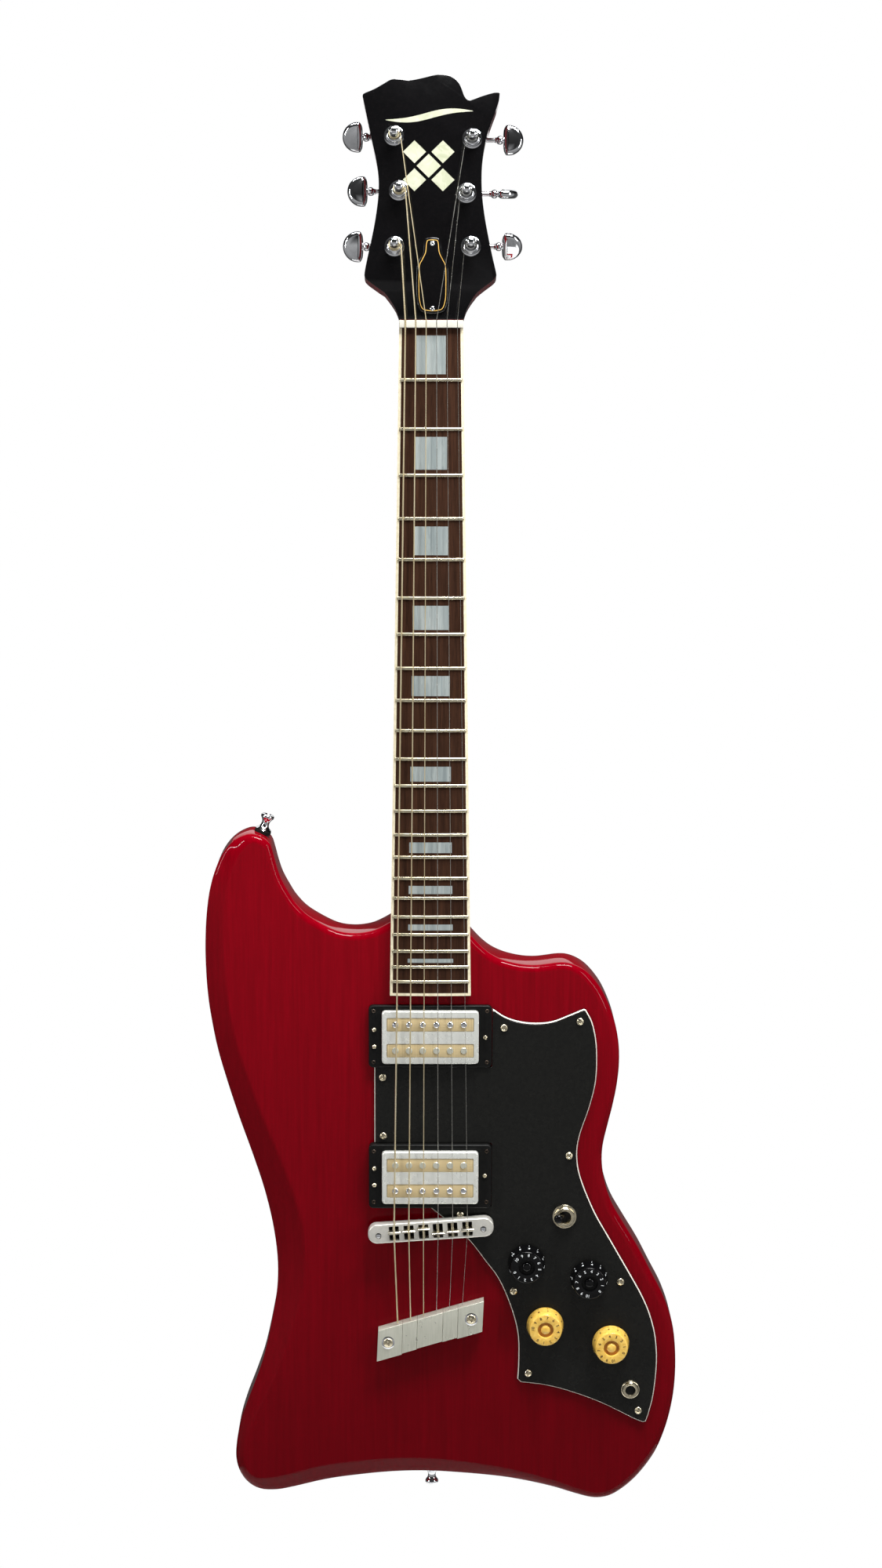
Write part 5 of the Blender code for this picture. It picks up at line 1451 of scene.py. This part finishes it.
# Name, place, aim, size and power of each soft light; heights are from the middle of the guitar.
LIGHTS = (("overhead_softbox", (0.55, -0.75, 2.1), (0.55, 0, 0), (1.2, 0.5), 94),
          ("top_strip", (0, -0.3, 1.8), (0, 0, 0), (2.0, 0.05), 22),
          ("left_strip", (-1.5, -0.9, 0.6), (0, 0, 0.1), (0.04, 1.2), 12),
          ("right_strip", (1.6, -1.0, 0.6), (0, 0, 0.1), (0.3, 1.2), 12),
          ("back_panel", (0, 3.0, 1.8), (0.009, 0.0152, 0), (4.0, 3.0), 38))
FLOOR_DISC = ((0, -10), (700, -10), (700, 0), (0, 0))
CAMERA_PLACE = (-0.0002, -2.133, 0.026)
CAMERA_PITCH_DOWN = 9.07
CAMERA_YAW = 0.2
CAMERA_ROLL = 0.1
CAMERA_LENS = 71.2


def area_light(name, place, aim, size, power, height):
    lamp = bpy.data.lights.new(name, "AREA")
    lamp.shape = "RECTANGLE"
    lamp.size, lamp.size_y = size
    lamp.energy = power
    made = bpy.data.objects.new(name, lamp)
    made.location = Vector(place) + Vector((0, 0, height))
    made.rotation_mode = "QUATERNION"
    made.rotation_quaternion = (Vector(aim) - Vector(place)).to_track_quat("-Z", "Y")
    bpy.context.scene.collection.objects.link(made)


def make_world():
    """White behind the guitar; a soft grey room, darker toward the back, for what it reflects."""
    world = bpy.data.worlds.new("studio")
    bpy.context.scene.world = world
    world.use_nodes = True
    tree = world.node_tree
    tree.nodes.clear()
    height = remap(tree, coordinate(tree, "Generated", "Z"), (-1, 1), (0, 1))
    depth = remap(tree, coordinate(tree, "Generated", "Y"), (0.0, 0.2), (1.0, ROOM_BEHIND))
    shades = ramp(tree, height, [(level, (grey, grey, grey)) for level, grey in ROOM_GREYS])
    room = add(tree, "Background", links={"Color": multiplied(tree, shades, depth)})
    seen = add(tree, "Background", {"Color": (1, 1, 1, 1)})
    path = add(tree, "LightPath")
    mix = add(tree, "MixShader", links={"Fac": path.outputs["Is Camera Ray"],
                                        1: room.outputs["Background"], 2: seen.outputs["Background"]})
    add(tree, "OutputWorld", links={"Surface": mix.outputs["Shader"]})


def make_floor(low):
    """Pale round floor well below the guitar."""
    tree, shader = start_look("floor_paper", "floor")
    colour = ramp(tree, noise(tree, (30, 30, 30)), ((0.3, (226, 226, 224)), (0.7, (234, 234, 232))))
    tree.links.new(colour, shader.inputs["Base Color"])
    shader.inputs["Roughness"].default_value = 0.8
    floor = mesh_object("floor", turned(FLOOR_DISC, 64), Matrix.Translation((0, 0, low)) @ WORLD)
    shade(floor.data, 35)
    floor.data.materials.append(LOOKS["floor_paper"][0])


def make_camera():
    data = bpy.data.cameras.new("camera")
    data.lens = CAMERA_LENS
    data.sensor_width = 36.0
    data.clip_start, data.clip_end = 0.05, 50
    made = bpy.data.objects.new("camera", data)
    made.location = CAMERA_PLACE
    turn_to = turn(-CAMERA_YAW, "Z") @ turn(90 - CAMERA_PITCH_DOWN, "X") @ turn(CAMERA_ROLL, "Z")
    made.rotation_euler = turn_to.to_euler()
    bpy.context.scene.collection.objects.link(made)
    bpy.context.scene.camera = made


def make_studio():
    make_world()
    middle = (START_BOUNDS[0] + START_BOUNDS[1]) / 2
    make_floor(START_BOUNDS[0].z - FLOOR_DROP)
    for light in LIGHTS:
        area_light(*light, middle.z)
    bpy.context.scene.view_settings.view_transform = "Standard"
    bpy.context.scene.view_settings.look = "None"


# ---- assembly ----
make_looks()
make_body()
make_strap_button("strap_button_upper", *UPPER_STRAP)
make_strap_button("strap_button_lower", *LOWER_STRAP)
make_neck()
make_ornament()
make_truss_parts()
make_fretboard()
make_nut()
make_guard()
make_pickup("neck", RING_NECK)
make_pickup("bridge", RING_BRIDGE)
make_bridge()
make_saddles()
make_anchor()
for knob in KNOBS:
    make_knob(*knob)
make_switch()
make_jack()
for tuner in TUNERS:
    make_tuner(*tuner)
for index, tuner in enumerate(TUNERS):
    make_string(index, tuner[1])
make_studio()
make_camera()
